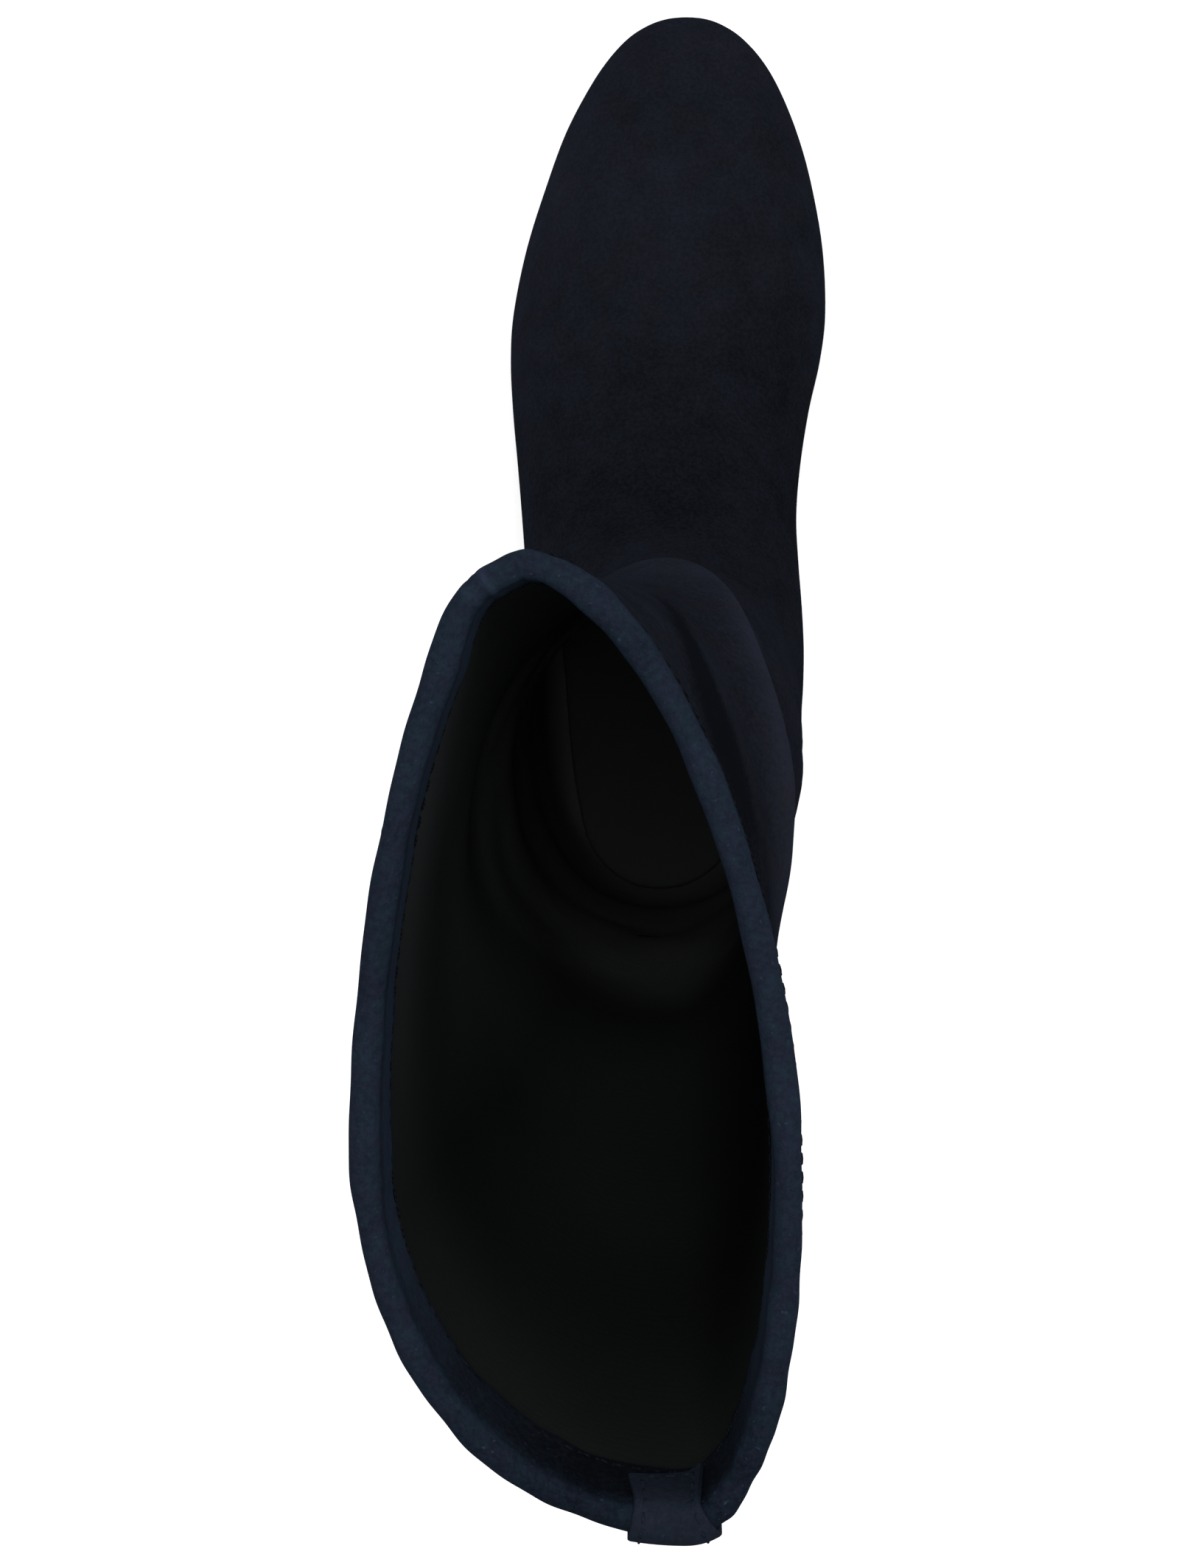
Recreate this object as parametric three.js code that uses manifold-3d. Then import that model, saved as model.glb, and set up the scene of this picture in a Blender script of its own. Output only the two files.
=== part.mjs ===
// A woman's knee-high suede boot for the left foot, standing empty on its sole and heel.
// Millimetres. +Z is up, +Y points to the toe and +X to the inner (medial) side of the foot.
// The origin lies on the floor, in the middle of the heel's top piece.
import * as THREE from "three";
import { mergeVertices } from "three/addons/utils/BufferGeometryUtils.js";
import Module from "manifold-3d";

const wasm = await Module();
wasm.setup();

// Driving dimensions of the last and the leg
const FOOT_LENGTH = 250; // back of the heel to the tip of the toe, along the floor
const BALL_WIDTH = 92; // outside of the upper at the ball of the foot
const INSTEP_HEIGHT = 75; // bed of the sole to the top line, halfway along the foot
const SEAT_HEIGHT = 45; // floor to the top of the sole at the back of the heel
const TOE_SPRING = 9; // lift of the sole at the tip of the toe
const ANKLE_HEIGHT = 160; // floor to the narrowest part of the leg, at the front
const SHAFT_HEIGHT = 410; // floor to the top of the leg's wall
const ANKLE_LENGTH = 89; // front to back at the ankle
const COLLAR_LENGTH = 156.5; // front to back at the collar, without the binding
const COLLAR_WIDTH = 69; // side to side at the collar, without the binding

// Thicknesses and clearances
const WALL = 2.2; // suede, stiffener and lining together
const GAP = 0.3; // between pieces that touch on the real boot
const SOLE_THICKNESS = 5; // forepart of the outsole
const SEAT_THICKNESS = 3.5; // outsole above the heel
const SOLE_MARGIN = 0.8; // how far the outsole stands out past the upper's lower edge
const SOLE_BEVEL = 1.4; // width and height of the chamfer on the outsole's lower edge
const INSOLE_THICKNESS = 3;

// Heel
const LIFT_THICKNESS = 6; // rubber top piece, on the floor
const LIFT_LENGTH = 48;
const LIFT_WIDTH = 52;
const HEEL_INSET = 1; // heel's edge inside the outsole's edge
const HEEL_RAKE = 4; // how far the heel's back leans forward on its way down

// Binding and tab at the collar
const BINDING_THICKNESS = 1; // suede turned over the collar
const BINDING_OUTSIDE = 6; // depth of the binding outside the collar
const BINDING_INSIDE = 13; // depth of its facing inside the collar
const TAB_WIDTH = 13.5;
const TAB_THICKNESS = 1.2;
const TAB_OUTSIDE = 24; // length of the back tab outside the collar
const TAB_INSIDE = 11; // length of the back tab inside the collar
const TAB_SHIFT = -2; // middle of the tab from the back seam, toward the inner side

// Front face of the heel, as a share of the foot's length from the back of the heel
const HEEL_BREAST = 0.205;

// Mesh fineness
const AROUND = 48; // points round each section of the upper and the binding
const ROLL_PARTS = 5; // parts of the binding's round top
const SOLE_STATIONS = 30; // points along each side of the sole
const HEEL_STATIONS = 12;
const HEEL_LAYERS = 4;
const TAB_STATIONS = 6;

// Reads a table written as text: a line of column names, then a line of numbers for each row
function table(text) {
  const [names, ...lines] = text.trim().split("\n").map((line) => line.trim().split(/\s+/));
  return lines.map((line) => Object.fromEntries(line.map((cell, i) => [names[i], Number(cell)])));
}

// Bed of the sole, on which the upper stands. along: share of the foot's length from the heel.
// rise: share of the seat's height above the forepart. spring: share of the toe spring.
// thick: 0 where the outsole has its seat thickness, 1 where it has its forepart thickness.
const BED = table(`
  along   rise  spring  thick
   -0.1   1.03       0      0
      0      1       0      0
   0.12  0.955       0      0
   0.24   0.87       0      0
   0.33   0.72       0      0
   0.42   0.49       0    0.1
    0.5   0.27       0    0.4
   0.57   0.11       0    0.8
   0.63  0.025       0      1
   0.68      0       0      1
   0.77      0       0      1
   0.84      0    0.12      1
   0.92      0    0.46      1
      1      0       1      1
    1.1      0     1.7      1
`);

// Sections of the foot, from the toe to the ankle. Each lies in a plane that holds the X direction
// and runs from a point on the top line (front) to one on the bottom or back line (back).
// front, back: place along the foot, as a share of its length.
// frontUp, backUp: height above the bed there, as a share of the instep height.
// inner, outer: half widths to the medial and lateral side, ridge and keel: side shift of the front
// and back points, all as shares of the ball width.
// wide: where along the section it is widest, from the back point. round: exponent of the curve above
// the widest place, inTuck and outTuck: those below it, larger being squarer.
// parts: rings made from this row to the next.
const FOOT_SECTIONS = table(`
   front  frontUp    back  backUp  inner   outer  ridge   keel  wide  round  inTuck  outTuck  parts
       1     0.12       1    0.11  0.083  -0.077   0.08   0.08   0.5      2     2.2      2.2      1
  0.9975      0.2  0.9975    0.01  0.151   -0.01   0.08   0.08   0.5    2.1     2.4      2.4      1
    0.99    0.265    0.99   -0.08  0.206   0.048  0.078  0.078   0.5    2.2     2.8      2.8      1
   0.976     0.33   0.976   -0.13  0.262   0.106  0.074  0.074  0.49   2.25     3.2      3.2      1
   0.952    0.405   0.952   -0.15  0.322   0.167   0.07   0.07  0.46    2.3     3.5      3.5      1
    0.92    0.485    0.92   -0.16  0.375   0.226  0.065   0.06  0.43    2.3     3.6      3.6      1
   0.873     0.58   0.873   -0.16   0.43   0.295   0.06   0.05  0.39   2.25     3.6      3.6      1
   0.817    0.665   0.817   -0.16  0.476   0.354  0.055   0.04  0.35    2.2     3.6      3.6      2
   0.742    0.745   0.742   -0.16  0.514    0.42  0.045   0.03  0.33   2.15     3.6      3.6      2
   0.667    0.825   0.667   -0.16  0.524   0.462  0.035   0.02  0.32    2.1     3.8      3.8      2
   0.611     0.89   0.611   -0.16  0.506    0.47  0.028   0.01  0.32   2.05     3.4      3.8      2
   0.556    0.955    0.55   -0.16  0.468    0.46   0.02      0  0.33      2     2.9     3.45      2
   0.504     1.02    0.48   -0.16  0.437    0.44  0.012  -0.02  0.36      2     2.4      3.2      1
   0.464     1.08    0.41   -0.16   0.42   0.422  0.008  -0.03   0.4      2     2.1        3      1
   0.436     1.17    0.33   -0.16   0.42   0.405  0.004  -0.03  0.46      2     2.2      3.1      1
   0.417     1.28    0.24   -0.16  0.424    0.39      0  -0.01  0.51      2     2.6      3.1      1
   0.404      1.4    0.15   -0.16  0.425    0.38      0      0  0.54      2     2.9      3.1      1
   0.396     1.51    0.07   -0.16   0.42   0.372      0      0  0.56      2     2.7      2.8      2
   0.391     1.62    0.01   -0.13  0.412    0.37      0      0  0.57      2     2.2      2.3      2
   0.388     1.74   -0.01     0.2  0.403   0.372      0      0  0.56      2     2.1      2.1      2
   0.386     1.88  -0.005    0.56  0.392   0.376      0      0  0.54      2     2.1      2.1      2
`);

// Sections of the leg, from above the heel to the collar.
// level: height of the front point, tilt: how far the back point lies lower, both as shares of the
// height from the ankle to the collar. front: place along the foot as a share of its length.
// grow: how far the length has grown from the ankle's to the collar's.
// inner, outer, ridge and keel: as above, as shares of the collar's width.
// frontIn, frontOut, backIn, backOut: exponents of the four quarters of the section.
// wideIn, wideOut: where each side is widest, from the back point.
const LEG_SECTIONS = table(`
  level  tilt front grow inner outer  ridge  keel wideIn wideOut frontIn frontOut backIn backOut parts
   0.13   0.3 0.385 0.03  0.51 0.504      0     0   0.52    0.52       2        2    2.1     2.1     2
    0.2  0.24 0.385    0 0.472 0.525  -0.02     0    0.5     0.5       2        2    2.1     2.1     3
   0.28  0.18 0.386 0.02 0.428 0.554 -0.045  0.01   0.49    0.49       2        2    2.1     2.1     3
   0.37  0.12 0.389 0.12 0.384 0.583 -0.077  0.02   0.47    0.48       2     1.97    2.1     2.1     3
   0.47  0.07 0.394  0.3  0.35 0.609 -0.117  0.03   0.44    0.46    1.93     1.94    2.1     2.1     3
   0.59 0.035 0.402  0.5 0.326 0.632  -0.17  0.04   0.41    0.45    1.87     1.91   2.15     2.1     2
   0.72 0.015 0.411 0.71 0.312 0.655 -0.225  0.05  0.385    0.43    1.83     1.88    2.2     2.1     2
   0.86     0 0.421 0.88 0.308 0.681 -0.275 0.055  0.367   0.415     1.8     1.85    2.2     2.1     1
      1     0 0.431    1  0.31 0.702  -0.31 0.055  0.355     0.4    1.77     1.81    2.2    2.07     1
`);

// Folds of the soft leg round the ankle. level: height as a share from the ankle to the collar,
// toward: compass place round the leg in degrees, 0 front, 90 inner side, 180 back, 270 outer side.
// reach: how far the fold runs each way from there, in degrees. tilt: how much lower it lies
// at the back than at the front, as the level is. swell: ridge (+) or trough (-) and tall: its
// half height, both as shares of the ankle's length.
const FOLDS = table(`
  level  toward  reach  tilt  swell  tall
   0.02       0     75   0.1  -0.03  0.13
    0.1     100     80  0.12   0.02  0.12
    0.2     265     80   0.1  -0.03  0.14
   0.34     270     75  0.08  0.025  0.18
   0.12     180     50     0  -0.02  0.13
   0.24     180     60     0   0.02  0.15
      1     338     15     0  0.016   0.9
`);

// Long folds of the inner side, which climb as they run back. The rows of one fold follow each
// other by turn, the compass place round the leg, which is negative toward the outer side.
// level and swell: as above. above, below: half heights of the fold over and under its level,
// as shares of the ankle's length.
const LONG_FOLDS = table(`
  fold  turn  level   swell  above  below
     1   -35    0.2       0   0.25   0.15
     1   -15   0.22   0.035   0.25   0.15
     1     5   0.25   0.066   0.25   0.15
     1    19    0.3   0.075   0.22   0.16
     1    30   0.36   0.076   0.18   0.16
     1    41   0.42   0.076   0.14   0.18
     1    52   0.46   0.076    0.1    0.2
     1    66   0.48   0.072   0.09   0.22
     1    80   0.49   0.045    0.1   0.24
     1    97   0.48    0.01    0.1   0.24
     1   120   0.46       0    0.1   0.24
     2     2    0.7       0    0.3   0.24
     2    14   0.71  -0.006    0.3   0.24
     2    30   0.73  -0.018    0.3   0.24
     2    52   0.74  -0.028    0.3   0.22
     2    72   0.73  -0.024    0.3   0.22
     2    96    0.7       0    0.3   0.22
     3    30      0       0   0.08   0.08
     3    45   0.12  -0.012   0.09    0.1
     3    58    0.2  -0.022    0.1    0.1
     3    72   0.24  -0.024    0.1   0.12
     3    90   0.22  -0.014    0.1   0.12
     3   115   0.18       0    0.1   0.12
`);

const lerp = THREE.MathUtils.lerp;
const LEG_HEIGHT = SHAFT_HEIGHT - ANKLE_HEIGHT;

// Places along the foot, as shares of its length, and as Y from the middle of the heel's top piece
const HEEL_MIDDLE = HEEL_RAKE + LIFT_LENGTH / 2;
const yOf = (along) => along * FOOT_LENGTH - HEEL_MIDDLE;
const alongOf = (y) => (y + HEEL_MIDDLE) / FOOT_LENGTH;

// A smooth value through a table's rows that never swings past them
function smoothTable(table, key, column, x) {
  const last = table.length - 1;
  if (x <= table[0][key]) return table[0][column];
  if (x >= table[last][key]) return table[last][column];
  let i = 0;
  while (x > table[i + 1][key]) i++;
  const slope = (j) => {
    if (j < 0 || j >= last) return null;
    return (table[j + 1][column] - table[j][column]) / (table[j + 1][key] - table[j][key]);
  };
  const tangent = (j) => {
    const before = slope(j - 1);
    const after = slope(j);
    if (before === null) return after;
    if (after === null) return before;
    return before * after <= 0 ? 0 : (2 * before * after) / (before + after);
  };
  const span = table[i + 1][key] - table[i][key];
  const t = (x - table[i][key]) / span;
  const rest = 1 - t;
  return (
    table[i][column] * (1 + 2 * t) * rest * rest +
    tangent(i) * span * t * rest * rest +
    table[i + 1][column] * t * t * (3 - 2 * t) -
    tangent(i + 1) * span * t * t * rest
  );
}

// Heights of the sole's top and bottom at a place along the foot
const bedRise = (y) => smoothTable(BED, "along", "rise", alongOf(y));
const bedSpring = (y) => smoothTable(BED, "along", "spring", alongOf(y));
const bed = (y) =>
  SOLE_THICKNESS + (SEAT_HEIGHT - SOLE_THICKNESS) * bedRise(y) + TOE_SPRING * bedSpring(y);
const soleThickness = (y) =>
  lerp(SEAT_THICKNESS, SOLE_THICKNESS, smoothTable(BED, "along", "thick", alongOf(y)));
const soleBottom = (y) => bed(y) - soleThickness(y);

// Both tables turned into sections in millimetres
function footSection(row) {
  const frontY = yOf(row.front);
  const backY = yOf(row.back);
  return {
    frontY,
    frontZ: bed(frontY) + row.frontUp * INSTEP_HEIGHT,
    backY,
    backZ: bed(backY) + row.backUp * INSTEP_HEIGHT,
    inner: row.inner * BALL_WIDTH,
    outer: -row.outer * BALL_WIDTH,
    ridge: row.ridge * BALL_WIDTH,
    keel: row.keel * BALL_WIDTH,
    wideIn: row.wide,
    wideOut: row.wide,
    frontIn: row.round,
    frontOut: row.round,
    backIn: row.inTuck,
    backOut: row.outTuck,
    parts: row.parts,
  };
}

function legSection(row) {
  const frontY = yOf(row.front);
  const frontZ = ANKLE_HEIGHT + row.level * LEG_HEIGHT;
  return {
    frontY,
    frontZ,
    backY: frontY - lerp(ANKLE_LENGTH, COLLAR_LENGTH, row.grow),
    backZ: frontZ - row.tilt * LEG_HEIGHT,
    inner: row.inner * COLLAR_WIDTH,
    outer: -row.outer * COLLAR_WIDTH,
    ridge: row.ridge * COLLAR_WIDTH,
    keel: row.keel * COLLAR_WIDTH,
    wideIn: row.wideIn,
    wideOut: row.wideOut,
    frontIn: row.frontIn,
    frontOut: row.frontOut,
    backIn: row.backIn,
    backOut: row.backOut,
    parts: row.parts,
  };
}

const SECTIONS = [...FOOT_SECTIONS.map(footSection), ...LEG_SECTIONS.map(legSection)];
const LAST = SECTIONS.length - 1;

// The section at a place s along the rows, 0 at the toe and LAST at the collar
function sectionAt(s) {
  const i = Math.min(Math.max(Math.floor(s), 0), LAST - 1);
  const t = s - i;
  const near = [i - 1, i, i + 1, i + 2].map((j) => SECTIONS[Math.min(Math.max(j, 0), LAST)]);
  const made = {};
  for (const column of Object.keys(near[1])) {
    const [a, b, c, d] = near.map((row) => row[column]);
    made[column] =
      b + 0.5 * t * (c - a + t * (2 * a - 5 * b + 4 * c - d + t * (3 * (b - c) + d - a)));
  }
  return made;
}

// A point of the smooth skin. a is the angle round the section: 0 front, a quarter turn the inner
// side, half a turn the back, three quarters the outer side.
function smoothSkin(s, a) {
  const section = sectionAt(s);
  const sin = Math.sin(a);
  const cos = Math.cos(a);
  const inside = sin >= 0;
  const ahead = cos >= 0;
  const power = inside
    ? ahead ? section.frontIn : section.backIn
    : ahead ? section.frontOut : section.backOut;
  const side = Math.abs(sin) ** (2 / power);
  const run = Math.abs(cos) ** (2 / power);
  const wide = inside ? section.wideIn : section.wideOut;
  const v = ahead ? wide + (1 - wide) * run : wide * (1 - run);
  const tip = ahead ? section.ridge : section.keel;
  const x = tip + ((inside ? section.inner : section.outer) - tip) * side;
  return new THREE.Vector3(
    x,
    lerp(section.backY, section.frontY, v),
    lerp(section.backZ, section.frontZ, v),
  );
}

// Outward direction of a surface given by a function of s and a
function outward(surface, s, a) {
  const ds = 0.02; // small steps for the slopes
  const da = 0.01;
  const low = Math.max(s - ds, 0);
  const high = Math.min(s + ds, LAST);
  const alongS = surface(high, a).sub(surface(low, a));
  const aroundA = surface(s, a + da).sub(surface(s, a - da));
  const normal = alongS.cross(aroundA).normalize();
  return s < ds ? new THREE.Vector3(0, 1, 0) : normal;
}

// Degrees round the leg from a compass place, between -180 and 180
const turned = (a, toward) =>
  ((((THREE.MathUtils.radToDeg(a) - toward + 180) % 360) + 360) % 360) - 180;

// The rows of each long fold by themselves
const LONG_FOLD_ROWS = [...new Set(LONG_FOLDS.map((row) => row.fold))].map((fold) =>
  LONG_FOLDS.filter((row) => row.fold === fold),
);

// How far the long folds push the skin out or in, as a share of the ankle's length
function longFoldSwell(point, a) {
  const turn = turned(a, 0);
  let swell = 0;
  for (const rows of LONG_FOLD_ROWS) {
    const at = (column) => smoothTable(rows, "turn", column, turn);
    const over = point.z - (ANKLE_HEIGHT + at("level") * LEG_HEIGHT);
    const tall = at(over > 0 ? "above" : "below") * ANKLE_LENGTH;
    swell += at("swell") * Math.exp(-((over / tall) ** 2));
  }
  return swell;
}

// How far all the folds push the skin out or in
function foldSwell(point, a) {
  const ahead = (1 + Math.cos(a)) / 2;
  let swell = longFoldSwell(point, a) * ANKLE_LENGTH;
  for (const fold of FOLDS) {
    const away = Math.abs(turned(a, fold.toward)) / fold.reach;
    if (away >= 1) continue;
    const level = fold.level - fold.tilt * (0.5 - ahead) * 2;
    const above = point.z - (ANKLE_HEIGHT + level * LEG_HEIGHT);
    const tall = fold.tall * ANKLE_LENGTH;
    const fade = Math.cos((away * Math.PI) / 2) ** 2;
    swell += fold.swell * ANKLE_LENGTH * fade * Math.exp(-((above / tall) ** 2));
  }
  return swell;
}

function skin(s, a) {
  const point = smoothSkin(s, a);
  const swell = foldSwell(point, a);
  return point.addScaledVector(outward(smoothSkin, s, a), swell);
}

// A point at a distance outside the skin, or inside it where the distance is negative
const offSkin = (s, a, out) => skin(s, a).addScaledVector(outward(skin, s, a), out);

// The place along the rows where the leg's level sections reach a height
function rowAtHeight(z) {
  let low = LAST - 3;
  let high = LAST;
  for (let i = 0; i < 30; i++) {
    const middle = (low + high) / 2;
    if (sectionAt(middle).backZ < z) low = middle;
    else high = middle;
  }
  return (low + high) / 2;
}

// Geometry from points and faces, and solids from geometry
function geometryOf(points, faces) {
  const geometry = new THREE.BufferGeometry().setFromPoints(points);
  geometry.setIndex(faces.flat());
  return geometry;
}

function solid(geometry) {
  const bare = geometry.clone();
  bare.deleteAttribute("normal");
  bare.deleteAttribute("uv");
  const merged = mergeVertices(bare, 1e-4);
  const vertProperties = new Float32Array(merged.attributes.position.array);
  const triVerts = new Uint32Array(merged.index.array);
  const made = new wasm.Manifold(new wasm.Mesh({ numProp: 3, vertProperties, triVerts }));
  if (made.volume() > 0) return made;
  for (let i = 0; i < triVerts.length; i += 3) {
    [triVerts[i + 1], triVerts[i + 2]] = [triVerts[i + 2], triVerts[i + 1]];
  }
  return new wasm.Manifold(new wasm.Mesh({ numProp: 3, vertProperties, triVerts }));
}

// The form of the whole boot at a distance from the skin: a tip at the toe, a ring of points at each
// section and a flat end at the collar, carried up by more where the form is to cut through it
function form(out, more) {
  const places = [];
  for (let i = 0; i < LAST; i++) {
    for (let part = 0; part < SECTIONS[i].parts; part++) {
      places.push(i + part / SECTIONS[i].parts);
    }
  }
  places.push(LAST);
  const ringAt = (s) =>
    Array.from({ length: AROUND }, (_, k) => offSkin(s, (k / AROUND) * 2 * Math.PI, out));
  const rings = places.slice(1).map(ringAt);
  if (more) rings.push(rings.at(-1).map((p) => p.clone().setZ(SHAFT_HEIGHT + more)));
  const tip = offSkin(0, 0, out);
  const end = rings.at(-1).reduce((sum, p) => sum.add(p), new THREE.Vector3());
  const points = [tip, ...rings.flat(), end.divideScalar(AROUND)];
  const at = (ring, k) => 1 + ring * AROUND + (k % AROUND);
  const faces = [];
  for (let k = 0; k < AROUND; k++) {
    faces.push([0, at(0, k), at(0, k + 1)]);
    for (let i = 0; i + 1 < rings.length; i++) {
      faces.push([at(i, k), at(i + 1, k + 1), at(i, k + 1)]);
      faces.push([at(i, k), at(i + 1, k), at(i + 1, k + 1)]);
    }
    faces.push([points.length - 1, at(rings.length - 1, k + 1), at(rings.length - 1, k)]);
  }
  return { rings, solid: solid(geometryOf(points, faces)) };
}

// A wide block under the bed of the sole, raised by a height
function blockUnderBed(raise) {
  const step = FOOT_LENGTH / 60;
  const shape = new THREE.Shape();
  shape.moveTo(yOf(-0.5), -FOOT_LENGTH);
  for (let y = yOf(-0.5); y < yOf(1.5); y += step) shape.lineTo(y, bed(y) + raise);
  shape.lineTo(yOf(1.5), -FOOT_LENGTH);
  const width = 4 * BALL_WIDTH;
  const geometry = new THREE.ExtrudeGeometry(shape, { depth: width, bevelEnabled: false });
  geometry.rotateY(Math.PI / 2).rotateX(Math.PI / 2);
  geometry.translate(-width / 2, 0, 0);
  return solid(geometry);
}

// Where rings of a form cross the bed raised by a height: points from the heel to the toe along
// the inner and the outer side, the first and last of them common to both
function outlineAt(rings, raise) {
  const over = (p) => p.z - bed(p.y) - raise;
  const half = AROUND / 2;
  const side = (turn) => {
    const points = [];
    const note = (p, q) => {
      const a = over(p);
      const b = over(q);
      if (a > 0 !== b > 0) points.push(p.clone().lerp(q, a / (a - b)));
    };
    const at = (i, k) => rings[i][(half + turn * k + AROUND) % AROUND];
    for (let i = 0; i < rings.length; i++) {
      for (let k = 0; k < half; k++) {
        note(at(i, k), at(i, k + 1));
        if (i > 0) note(at(i - 1, k), at(i, k));
      }
    }
    return points.sort((p, q) => p.y - q.y);
  };
  return { inner: side(-1), outer: side(1) };
}

// Points spaced evenly along a line of points, as far as a place along the foot
function evenly(points, count, farthest) {
  const line = points.filter((p) => p.y <= farthest);
  const next = points[line.length];
  if (next) {
    const before = line.at(-1);
    line.push(before.clone().lerp(next, (farthest - before.y) / (next.y - before.y)));
  }
  const flat = line.map((p) => new THREE.Vector3(p.x, p.y, 0));
  const far = [0];
  for (let i = 1; i < flat.length; i++) far.push(far[i - 1] + flat[i].distanceTo(flat[i - 1]));
  const spaced = [];
  for (let j = 0; j < count; j++) {
    const wanted = (far.at(-1) * j) / (count - 1);
    let i = 1;
    while (i < far.length - 1 && far[i] < wanted) i++;
    const t = (wanted - far[i - 1]) / (far[i] - far[i - 1]);
    spaced.push(flat[i - 1].clone().lerp(flat[i], Math.min(t, 1)));
  }
  return spaced;
}

// Points drawn in toward the middle of an outline. sign is 1 on the inner side, -1 on the outer.
function drawnIn(points, inset, sign) {
  return points.map((p, i) => {
    const before = points[Math.max(i - 1, 0)];
    const after = points[Math.min(i + 1, points.length - 1)];
    const tangent = after.clone().sub(before).normalize();
    if (i === 0) tangent.set(sign, 0, 0);
    return p.clone().add(new THREE.Vector3(-tangent.y * sign, tangent.x * sign, 0).setLength(inset));
  });
}

// A solid through layers, each a ribbon between the lines a and b. The lines may share their ends.
function ribbons(layers) {
  const points = [];
  const rings = layers.map(({ a, b }) => {
    const first = a[0].distanceTo(b[0]) < GAP / 10;
    const last = a.at(-1).distanceTo(b.at(-1)) < GAP / 10;
    const start = points.length;
    const far = b.slice(first ? 1 : 0, last ? -1 : undefined).reverse();
    points.push(...a, ...far);
    const pair = (j) => (first && j === 0) || (last && j === a.length - 1) ? start + j
      : start + a.length + far.length - 1 - (j - (first ? 1 : 0));
    return { start, count: a.length + far.length, pair };
  });
  const faces = [];
  const add = (...corners) => {
    if (new Set(corners).size === 3) faces.push(corners);
  };
  for (let i = 0; i + 1 < rings.length; i++) {
    const { start, count } = rings[i];
    for (let k = 0; k < count; k++) {
      const next = (k + 1) % count;
      const above = rings[i + 1].start;
      add(start + k, start + next, above + next);
      add(start + k, above + next, above + k);
    }
  }
  const cap = ({ start, pair }, flip) => {
    for (let j = 0; j + 1 < layers[0].a.length; j++) {
      const [p, q, r, s] = [start + j, start + j + 1, pair(j + 1), pair(j)];
      if (flip) {
        add(p, r, q);
        add(p, s, r);
      } else {
        add(p, q, r);
        add(p, r, s);
      }
    }
  };
  cap(rings[0], true);
  cap(rings.at(-1), false);
  return solid(geometryOf(points, faces));
}

// A layer of the sole or heel: an outline drawn in by a distance, at given heights
function layer(outline, inset, heightAt) {
  const raised = (side, sign) =>
    drawnIn(outline[side], inset, sign).map((p) => p.setZ(heightAt(p.y)));
  const made = { a: raised("inner", 1), b: raised("outer", -1) };
  if (outline.joined) made.b[made.b.length - 1] = made.a.at(-1);
  made.b[0] = made.a[0];
  return made;
}

const outerForm = form(0, 0);
const innerForm = form(-WALL, SHAFT_HEIGHT / 10);
const insoleForm = form(-WALL - GAP, 0);
const soleForm = form(SOLE_MARGIN, 0);

// One hollow wall from the toe to the collar, open above and, over the sole, below
function makeUpper() {
  return outerForm.solid.subtract(innerForm.solid).subtract(blockUnderBed(0));
}

function makeOutline(rings, raise, count, farthest) {
  const found = outlineAt(rings, raise);
  return {
    inner: evenly(found.inner, count, farthest),
    outer: evenly(found.outer, count, farthest),
    joined: farthest > yOf(1),
  };
}

function makeOutsole() {
  const outline = makeOutline(soleForm.rings, 0, SOLE_STATIONS, yOf(2));
  return ribbons([
    layer(outline, 0, (y) => bed(y) - GAP),
    layer(outline, 0, (y) => soleBottom(y) + SOLE_BEVEL),
    layer(outline, SOLE_BEVEL, soleBottom),
  ]);
}

function makeInsole() {
  const low = makeOutline(insoleForm.rings, GAP, SOLE_STATIONS, yOf(2));
  return ribbons([
    layer(low, 0, (y) => bed(y) + GAP),
    layer(low, 0, (y) => bed(y) + INSOLE_THICKNESS),
  ]);
}

// The heel's outline at the seat, and the same drawn in to the top piece's size
const seatOutline = makeOutline(soleForm.rings, 0, HEEL_STATIONS, yOf(HEEL_BREAST));

function heelLayer(down, heightAt) {
  const seat = layer(seatOutline, HEEL_INSET, () => 0);
  const all = [...seat.a, ...seat.b];
  const low = { x: Math.min(...all.map((p) => p.x)), y: Math.min(...all.map((p) => p.y)) };
  const high = { x: Math.max(...all.map((p) => p.x)), y: Math.max(...all.map((p) => p.y)) };
  const wide = lerp(1, LIFT_WIDTH / (high.x - low.x), down);
  const long = lerp(1, LIFT_LENGTH / (high.y - low.y), down);
  const middle = (low.x + high.x) / 2;
  const shaped = (p) => {
    const x = lerp(p.x, middle + (p.x - middle) * wide, down > 0 ? 1 : 0);
    const y = low.y + (p.y - low.y) * long + HEEL_RAKE * down;
    return new THREE.Vector3(x, y, heightAt(y));
  };
  const made = { a: seat.a.map(shaped), b: seat.b.map(shaped) };
  made.b[0] = made.a[0];
  return made;
}

function makeHeel() {
  const layers = [];
  for (let i = 0; i <= HEEL_LAYERS; i++) {
    const share = i / HEEL_LAYERS;
    const top = (y) => soleBottom(y) - GAP;
    layers.push(heelLayer(share ** 0.75, (y) => lerp(top(y), LIFT_THICKNESS + GAP, share)));
  }
  return ribbons(layers);
}

function makeTopLift() {
  return ribbons([heelLayer(1, () => LIFT_THICKNESS), heelLayer(1, () => 0)]);
}

// A point beside the collar: depth below the top of the wall (above it where negative), and
// distance out from the skin
function beside(a, depth, out) {
  const point = offSkin(rowAtHeight(SHAFT_HEIGHT - Math.max(depth, 0)), a, out);
  return point.setZ(SHAFT_HEIGHT - depth);
}

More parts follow.
